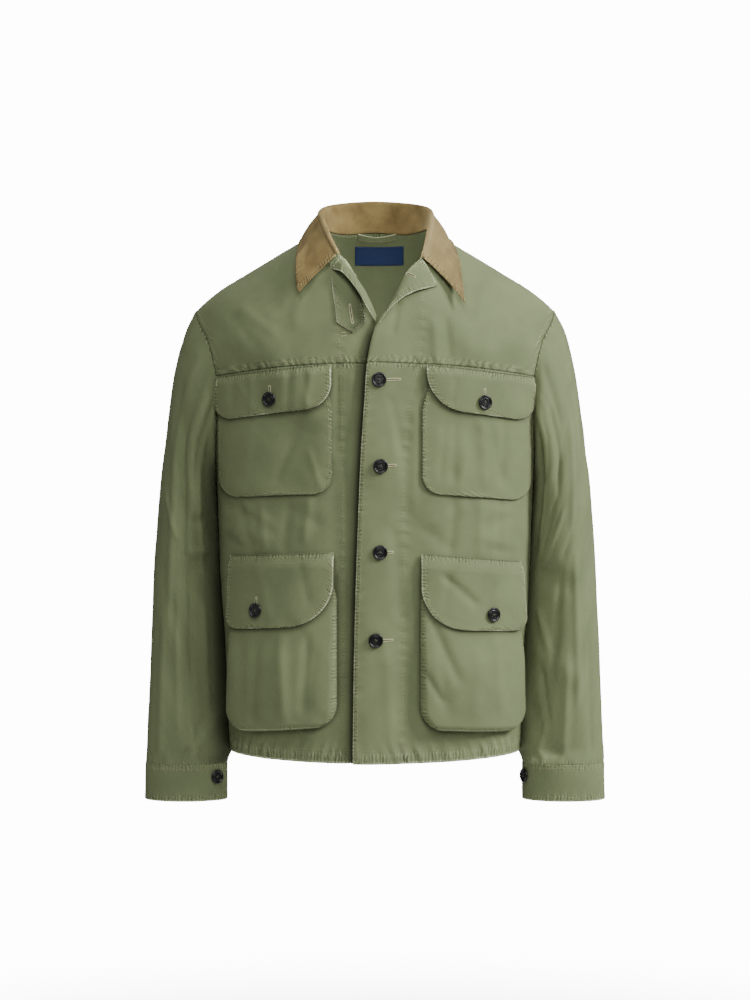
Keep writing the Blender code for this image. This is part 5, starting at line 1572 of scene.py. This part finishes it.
patches = {}
for word, hand in HANDS.items():
    for place in ("chest", "hip"):
        for kind in ("pocket", "flap"):
            name = f"{place}_{kind}_{word}"
            size = PATCH[name]
            rows = patch_rows(size, PATCH_ROWS if kind == "pocket" else FLAP_ROWS)
            columns = np.linspace(0, 1, PATCH_COLUMNS)
            x, z, share, down, height = patch_plan(size, columns, rows)
            plain = np.full(x.shape, LAYER + PATCH_LIFT)
            if place == "hip" and kind == "pocket":
                side = GUSSET / (size["x"][1] - size["x"][0])
                foot = GUSSET / height
                edge = np.minimum(np.minimum(share, 1 - share) / side, (1 - down) / foot)
                edge = np.sqrt(np.clip(1 - (1 - np.clip(edge, 0, 1)) ** 2, 0, 1))
                plain = plain + hip_bulge(share, down) * edge
            if kind == "flap":
                pocket = PATCH[f"{place}_pocket_{word}"]
                under = over_pocket(pocket, x, z) if place == "hip" else LAYER + PATCH_LIFT
                over = under + LAYER + FLAP_STANDOFF
                plain = mix(LAYER + FLAP_LIFT, over, soft(down * height / FLAP_RISE[place]))
            points, out = on_front(x, z, plain)
            seed = 1.0 + hand + (place == "hip") * 5 + (kind == "flap") * 9
            # A pocket gets painted shadow from its flap, under it and just below its edge, as values below 0.
            shade = painted_patch_shade(PATCH[f"{place}_flap_{word}"], x, z, 5.0) if kind == "pocket" else 0.0
            edges = [
                (side, PATCH_STITCH, PATCH_PUCKER, PATCH_PUCKER_DEPTH, pitch, seed + k)
                for k, (side, pitch) in enumerate(PATCH_PITCH.items())
                if side != "top" or kind == "flap"
            ]
            lift, wear_and_painted_light, seam = sewn(points, *edges, joined=("top",))
            if place == "hip" and kind == "pocket":
                wide = size["x"][1] - size["x"][0]
                folds_away = [share * wide, (1 - down) * height, (1 - share) * wide]
                folds_away = [np.abs(each - RIM) for each in folds_away]
                runs = [height * down, height + share * wide, 2 * height + wide - height * down]
                bands = [(each, run, RIM_BAND, 1) for each, run in zip(folds_away, runs)]
                seam = seam_map(*bands)
                ridge = np.exp(-((np.min(folds_away, 0) / 1.8) ** 2)) * soft(down * height / 30)
                lift = lift + RIM_RIDGE * ridge
                wear_and_painted_light = np.clip(wear_and_painted_light + 0.1 * ridge, 0, 1)
            if place == "chest" and kind == "pocket":
                seam = seam * FLAT_PUCKERS
            wear_and_painted_light = np.where(shade > 0.02, -shade, wear_and_painted_light)
            for x1, z1, x2, z2, width, depth in zip(*PATCH_CREASES.values()):
                if (x1 > 0) == (hand > 0):
                    lift = lift + depth * trough(x, z, x1, z1, x2, z2, width) * soft(ways(points)["top"] / 14)
            lift = lift + 0.8 * crumple(x * 1.5, z * 1.5, seed)
            patches[name] = points, out = lifted(points, out, lift)
            piece = cloth(f"{name}_cloth", points, out, TWILL_WALL, twill, wear_and_painted_light=wear_and_painted_light, seam=seam)
            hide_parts(name)
            wide, tall = size["x"][1] - size["x"][0], float(height.max())
            lines = [inset_line(points, out, side, PATCH_STITCH, 2.0) for side in ("left", "right", "bottom")]
            if kind == "flap":
                lines.append(inset_line(points, out, "top", PATCH_STITCH, 2.0))
                if place == "hip":
                    lines.append(inset_line(points, out, "top", 3 * PATCH_STITCH, 2.0))
            stitches(f"{name}_stitching", lines)

# ================================================================== the buttons
# Ten round buttons of near-black moulded plastic: a raised rim, a dished middle and four holes,
# each sewn on with thread of its own colour.
BUTTON_RISE = 0.35  # from the cloth's face to the button's
BUTTON_AROUND = 72
BUTTON_PROFILE = table(
    "radius height",
    (0.0, 0.0),
    (8.0, 0.0),
    (9.2, 0.7),
    (9.6, 1.5),
    (9.55, 2.3),
    (9.2, 2.9),
    (8.6, 3.2),
    (8.0, 3.2),
    (7.4, 2.7),
    (6.9, 1.8),
    (6.5, 1.45),
    (6.1, 1.5),
    (5.7, 1.85),
)
DISH_RINGS = np.linspace(5.4, 0.0, 23)
DISH_HEIGHT = (2.05, 2.0)
HOLE_APART = 1.9
HOLE_RADIUS = 1.05
HOLE_DEPTH = 1.6
SEWING_RADIUS = 0.5  # half the width of the thread through the holes
SEWING_FLAT = 0.32  # and half its thickness
FRONT_BUTTONS = table("number x z", (1, 5.6, -209.5), (2, 6.0, -320), (3, 5.2, -432.5), (4, 0.8, -546.5))
CHEST_BUTTONS = {"left": (-135.5, -233.5), "right": (141.5, -237.5)}
HIP_BUTTONS = {"left": (-150, -510), "right": (149, -513)}

gloss = {"Base Color": linear("#101010"), "Specular IOR Level": 0.6}
plastic, shader = material("near-black moulded plastic", gloss)
place = add(plastic, "TexCoord").outputs["Object"]
grain = add(plastic, "TexNoise", {"Vector": place, "Scale": 260.0, "Detail": 4.0})
connect(shader, {"Roughness": add(plastic, "MapRange", (grain, 0.0, 1.0, 0.24, 0.4))})
sewing, _ = material("button thread", {"Base Color": linear("#4A4B40"), "Roughness": 0.8})


def nearest_on(spot, points, normals, over=7.0):
    """The place on a cloth nearest to a spot, and the mean way out round it."""
    away = np.sum((points - spot) ** 2, -1)
    k = np.unravel_index(np.argmin(away), away.shape)
    about = np.sum((points - points[k]) ** 2, -1) < over**2
    return points[k], unit(normals[about].mean(0))


def button(name, centre, out, turn):
    """A button: a lathed profile whose dish is cut by four round holes, and thread across them."""
    beside = unit(np.cross([0, 0, 1], out))
    above = np.cross(out, beside)
    around = np.linspace(0, 2 * math.pi, BUTTON_AROUND + 1)[:-1]
    radius = np.concatenate([BUTTON_PROFILE["radius"][1:], DISH_RINGS[:-1]])
    dish = mix(*DISH_HEIGHT, 1 - DISH_RINGS[:-1] / DISH_RINGS[0])
    height = np.concatenate([BUTTON_PROFILE["height"][1:], dish])
    u = radius[:, None] * np.cos(around)
    v = radius[:, None] * np.sin(around)
    holes = [(a * math.cos(turn) - b * math.sin(turn), a * math.sin(turn) + b * math.cos(turn))
             for a in (-HOLE_APART, HOLE_APART) for b in (-HOLE_APART, HOLE_APART)]
    deep = sum(soft((HOLE_RADIUS - np.hypot(u - p, v - q)) / 0.3) for p, q in holes)
    height = height[:, None] - HOLE_DEPTH * np.clip(deep, 0, 1) * (radius[:, None] <= DISH_RINGS[0])
    grid = np.stack([u, v, height], -1).reshape(-1, 3)
    spots = np.concatenate([grid, [[0, 0, 0.0], [0, 0, DISH_HEIGHT[1]]]])
    number = np.arange(len(grid)).reshape(-1, BUTTON_AROUND)
    wrapped = rounded(number)
    faces = quads(wrapped)[:, [0, 3, 2, 1]].tolist()
    foot, top = len(grid), len(grid) + 1
    faces += [[foot, wrapped[0, k + 1], wrapped[0, k]] for k in range(BUTTON_AROUND)]
    faces += [[top, wrapped[-1, k], wrapped[-1, k + 1]] for k in range(BUTTON_AROUND)]
    thread_from = len(faces)
    run = np.linspace(0, 1, 13)[:, None]
    ring = np.linspace(0, 2 * math.pi, 9)[:-1]
    for k in (0, 1):
        first, last = np.array(holes[k]), np.array(holes[3 - k])
        arc = first * (1 - run) + last * run
        rise = DISH_HEIGHT[1] - 0.5 + (0.75 + 0.18 * k) * np.sin(math.pi * run) ** 0.6
        side = unit(np.array([first[1] - last[1], last[0] - first[0]])) * SEWING_RADIUS
        tube = [arc[:, i, None] + side[i] * np.cos(ring) for i in (0, 1)]
        tube = np.stack([*tube, rise + SEWING_FLAT * np.sin(ring)], -1)
        rows = rounded(len(spots) + np.arange(len(run) * 8).reshape(-1, 8))
        spots = np.concatenate([spots, tube.reshape(-1, 3)])
        faces += quads(rows)[:, [0, 3, 2, 1]].tolist() + [rows[0, 7::-1].tolist(), rows[-1, :8].tolist()]
    spots = centre + spots @ np.array([beside, above, out])
    piece = new_piece(name, spots, faces, plastic, sewing)
    which = (np.arange(len(faces)) >= thread_from).astype(int)
    piece.data.polygons.foreach_set("material_index", which)
    return piece


places = {}
for number, x, z in zip(*FRONT_BUTTONS.values()):
    places[f"button_front_{int(number)}"] = on_front(x, z, 0.0)[0], fronts[1]
for word in HANDS:
    for place, spots in (("chest", CHEST_BUTTONS), ("hip", HIP_BUTTONS)):
        spot = on_front(*spots[word], LAYER)[0]
        places[f"button_{place}_{word}"] = spot, patches[f"{place}_flap_{word}"]
    grid = cuffs[HANDS[word]]
    places[f"button_cuff_{word}"] = grid[0][9, 155], grid
for number, (name, (spot, grid)) in enumerate(places.items()):
    at, out = nearest_on(spot, *grid)
    made = button(f"{name}_dressed", at + out * (TWILL_WALL / 2 + BUTTON_RISE), out, 0.35 * number)
    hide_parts(name)

# ================================================================== the buttonholes and tacks
# Worked in whipped thread paler than the cloth: a ring round each slit, whose dark tube is painted
# shadow, and short bars where a flap's upper corners and the facings are held.
HOLE_RING = 0.75
TACK_RADIUS = 0.6
HOLE_HALF_WIDTH = 1.1
WHIP_PITCH = 0.8
BUTTONHOLES = table(
    "x1 z1 x2 z2",
    (10, -209.5, 32.0, -208.5),
    (10, -320, 26.5, -319.5),
    (9, -432.5, 23.0, -432.0),
    (5, -546.5, 22.0, -546.0),
)

pale_thread, _ = material("pale buttonhole thread", {"Base Color": linear("#B3B38A"), "Roughness": 0.75})
slit, _ = material("painted slit shadow", {"Base Color": linear("#14150D"), "Roughness": 1.0})


def whipped(name, path, out, radius, finish, closed):
    """A tube along a path that lies on a cloth, ridged all along as whipped thread is."""
    after = np.roll(path, -1, 0) if closed else np.concatenate([path[1:], path[-1:]])
    before = np.roll(path, 1, 0) if closed else np.concatenate([path[:1], path[:-1]])
    run = unit(after - before)
    beside = unit(np.cross(run, out))
    length = lengths(path)
    thick = radius * (1 + 0.16 * np.sin(2 * math.pi * length / WHIP_PITCH))[:, None]
    ring = np.linspace(0, 2 * math.pi, 9)[:-1]
    up = unit(np.cross(beside, run))
    tube = path[:, None] + beside[:, None] * (thick * np.cos(ring))[..., None]
    tube = tube + up[:, None] * (thick * 0.8 * np.sin(ring))[..., None]
    rows = rounded(np.arange(len(path) * 8).reshape(-1, 8))
    faces = quads(np.concatenate([rows, rows[:1]]) if closed else rows).tolist()
    if not closed:
        faces += [rows[0, :8].tolist(), rows[-1, 7::-1].tolist()]
    new_piece(name, tube.reshape(-1, 3), faces, finish)


def laid(spots, grid, wall):
    """A path over places of the front view, laid on the face of a cloth, and the way out along it."""
    path, out = settled(on_front(spots[:, 0], spots[:, 1], LAYER)[0], *grid)
    return path + out * wall / 2, out


def buttonhole(name, grid, first, last, wall=TWILL_WALL, opened=0.45):
    """A buttonhole from one place of the front view to another: a ring of thread, and painted shadow in the
    slit.
    """
    ends = np.array([first, last], float)
    run = unit(ends[1] - ends[0])
    side = np.array([-run[1], run[0]]) * HOLE_HALF_WIDTH
    turn = np.linspace(math.pi / 2, 3 * math.pi / 2, 15)
    half = np.cos(turn)[:, None] * run * HOLE_HALF_WIDTH + np.sin(turn)[:, None] * side
    share = np.linspace(0, 1, 46)[1:-1, None]
    below, above = mix(ends[0] - side, ends[1] - side, share), mix(ends[1] + side, ends[0] + side, share)
    oval = np.concatenate([ends[0] + half, below, ends[1] - half, above])
    whipped(name, *laid(oval, grid, wall), HOLE_RING, pale_thread, True)
    middle = mix(ends[0], ends[1], np.linspace(0.04, 0.96, 30)[:, None])
    whipped(f"{name}_slit", *laid(middle, grid, wall), opened, slit, False)


def tack(name, grid, first, last):
    """A short bar of whipped thread between two places of the front view."""
    share = np.linspace(0, 1, 40)[:, None]
    spots = mix(np.array(first, float), np.array(last, float), share)
    whipped(name, *laid(spots, grid, TWILL_WALL), TACK_RADIUS, pale_thread, False)


for number, (x1, z1, x2, z2) in enumerate(zip(*BUTTONHOLES.values()), 1):
    buttonhole(f"buttonhole_front_{number}", fronts[1], (x1, z1), (x2, z2))
buttonhole("buttonhole_lapel_right", lapels[1], (41.9, -71.2), (50.3, -76.8), opened=1.0)
buttonhole("buttonhole_throat_tab", tab, (-32.6, -112), (-29.4, -135), TAB_WALL)
for word, hand in HANDS.items():
    for place, spots in (("chest", CHEST_BUTTONS), ("hip", HIP_BUTTONS)):
        x, z = spots[word]
        flap = patches[f"{place}_flap_{word}"]
        if (place, word) != ("hip", "right"):
            buttonhole(f"buttonhole_{place}_{word}", flap, (x, z + 17), (x, z - 2))
        size = PATCH[f"{place}_flap_{word}"]
        for k, (edge, inward) in enumerate(((size["x"][0], 1), (size["x"][1], -1))):
            if place == "hip" or inward == hand:
                continue
            z = size["top"][k] - 3.0
            bar = (edge + 2.0 * inward, z - 1), (edge + 2.0 * inward, z - 8)
            tack(f"tack_{place}_{word}_{k}", flap, *bar)
for number, z in enumerate((-148.0, -152.5), 1):
    tack(f"tack_facing_{number}", yokes[-1], (-44, z), (-37, z + 0.8))
tack("tack_lapel_left", lapels[-1], (-30.2, -73.5), (-27.4, -76.6))

# ================================================================== the neck label
# A plain woven navy patch inside the back of the neck, bare, sewn down all round.
LABEL_WALL = 0.7
LABEL_X = (-28.0, 40.0)
LABEL_Z = (-36.0, -12.0)
LABEL_STANDOFF = 1.9
label_blue, shader = material("navy woven label", {"Roughness": 0.6})
rows = {"Vector": add(label_blue, "UVMap", uv_map="flat"), "Scale": WAVE / (0.9 * MM), "Distortion": 0.4}
rows = add(label_blue, "TexWave", rows, bands_direction="Y").outputs["Fac"]
connect(shader, {"Base Color": blend(label_blue, rows, linear("#1B2A50"), linear("#2B3F70"))})
x, z = np.meshgrid(np.linspace(*LABEL_X, 41), np.linspace(LABEL_Z[1], LABEL_Z[0], 15))
points, out = cloth_points(angle_of(x, z), lap_of(shoulder_line(x) - z), 1, -LABEL_STANDOFF)
out = -facing(grid_normals(points), out)
label = cloth("neck_label_cloth", points, out, LABEL_WALL, label_blue)
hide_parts("neck_label")
navy_thread, _ = material("navy thread", {"Base Color": linear("#1B274A")})
lines = [inset_line(points, out, side, 1.2, 1.0) for side in ("left", "right", "top", "bottom")]
stitches("neck_label_stitching", lines, LABEL_WALL, navy_thread)

# ================================================================== the hanger loop
# A narrow strip of the same twill, folded in and stitched, whose ends go into the neck seam. It
# stands a little off the back and sags between them.
LOOP_WALL = 1.2
LOOP_X = (-24.0, 30.0)
LOOP_Z = (-2.0, 4.5)
LOOP_DROP = 1.2
LOOP_STAND = 3.2
LOOP_STANDOFF = 3.1
share, down = np.meshgrid(np.linspace(0, 1, 61), np.linspace(0, 1, 9))
x = mix(*LOOP_X, share)
z = mix(LOOP_Z[1], LOOP_Z[0], down) - LOOP_DROP * np.sin(math.pi * share)
inside = LOOP_STANDOFF + LOOP_STAND * np.sin(math.pi * share)
points, out = cloth_points(angle_of(x, z), lap_of(shoulder_line(x) - z), 1, -inside)
out = -facing(grid_normals(points), out)
reach = ways(points)
loop_seam = seam_map((reach["top"], reach["left"], 3.0, 1), (reach["bottom"], reach["left"] + 60, 3.0, 1))
loop = cloth("hanger_loop_cloth", points, out, LOOP_WALL, twill, wear_and_painted_light=0.15, seam=loop_seam)
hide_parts("hanger_loop")
lines = [inset_line(points, out, side, 1.3) for side in ("top", "bottom")]
stitches("hanger_loop_stitching", lines, LOOP_WALL)

# ================================================================== the floor and the light
# A plain pale floor well below the jacket, which fades out around it, and soft studio light: a
# large key from the right of the front, weaker lights round it, and a small one that lights the
# inside of the neck from between the lapels.
FLOOR = -1300.0
FLOOR_RADIUS = 2.0
FLOOR_WHOLE = 0.5  # metres from the middle to where it starts to fade
FLOOR_GONE = 1.8
ROOM = 0.12
ROOM_SEEN = 14.0  # the room as the camera sees it, a plain white
floor_mesh = bpy.data.meshes.new("floor")
around = np.linspace(0, 2 * math.pi, 97)[:-1]
edge = np.stack([FLOOR_RADIUS * np.cos(around), FLOOR_RADIUS * np.sin(around), 0 * around + FLOOR * MM], -1)
floor_mesh.from_pydata(edge.tolist(), [], [list(range(len(edge)))])
plain, paint = material("pale floor", {"Base Color": linear("#F4F4F2"), "Roughness": 0.9})
place = add(plain, "TexCoord").outputs["Object"]
level = add(plain, "VectorMath", (place, (1.0, 1.0, 0.0)), operation="MULTIPLY")
away = add(plain, "VectorMath", (level,), operation="LENGTH")
fade = (away, FLOOR_WHOLE, FLOOR_GONE, 1.0, 0.0)
connect(paint, {"Alpha": add(plain, "MapRange", fade, interpolation_type="SMOOTHSTEP")})
floor_mesh.materials.append(plain)
floor = bpy.data.objects.new("floor", floor_mesh)
bpy.context.scene.collection.objects.link(floor)

LIGHTS = table(
    "x y z size_x size_y power aim_y aim_z",
    (2800, -1150, 1500, 1.0, 1.3, 160, 0, CAMERA_HEIGHT),
    (-2700, -1000, 300, 1.4, 1.8, 4, 0, CAMERA_HEIGHT),
    (600, -2700, 1000, 1.3, 1.1, 32, 0, CAMERA_HEIGHT),
    (-500, -1700, 2500, 1.4, 1.2, 36, 0, CAMERA_HEIGHT),
    (-300, 2600, 1800, 2.4, 1.6, 24, 0, CAMERA_HEIGHT),
    (4, -104, -44, 0.05, 0.05, 0.16, 100, -46),
)
for number, (x, y, z, size_x, size_y, power, aim_y, aim_z) in enumerate(zip(*LIGHTS.values())):
    lamp = bpy.data.lights.new(f"light_{number}", "AREA")
    lamp.shape = "RECTANGLE"
    lamp.size = size_x
    lamp.size_y = size_y
    lamp.energy = power
    held = bpy.data.objects.new(f"light_{number}", lamp)
    held.location = (x * MM, y * MM, z * MM)
    aim = np.array([0, aim_y, aim_z]) - np.array([x, y, z])
    tilt = math.atan2(math.hypot(aim[0], aim[1]), -aim[2])
    held.rotation_euler = (tilt, 0, math.atan2(aim[1], aim[0]) - math.pi / 2)
    bpy.context.scene.collection.objects.link(held)

world = bpy.data.worlds.new("pale room")
world.use_nodes = True
seen = add(world, "LightPath").outputs["Is Camera Ray"]
strength = add(world, "MapRange", (seen, 0.0, 1.0, ROOM, ROOM_SEEN))
connect(world.node_tree.nodes["Background"], {"Color": (1.0, 1.0, 1.0, 1.0), "Strength": strength})
bpy.context.scene.world = world
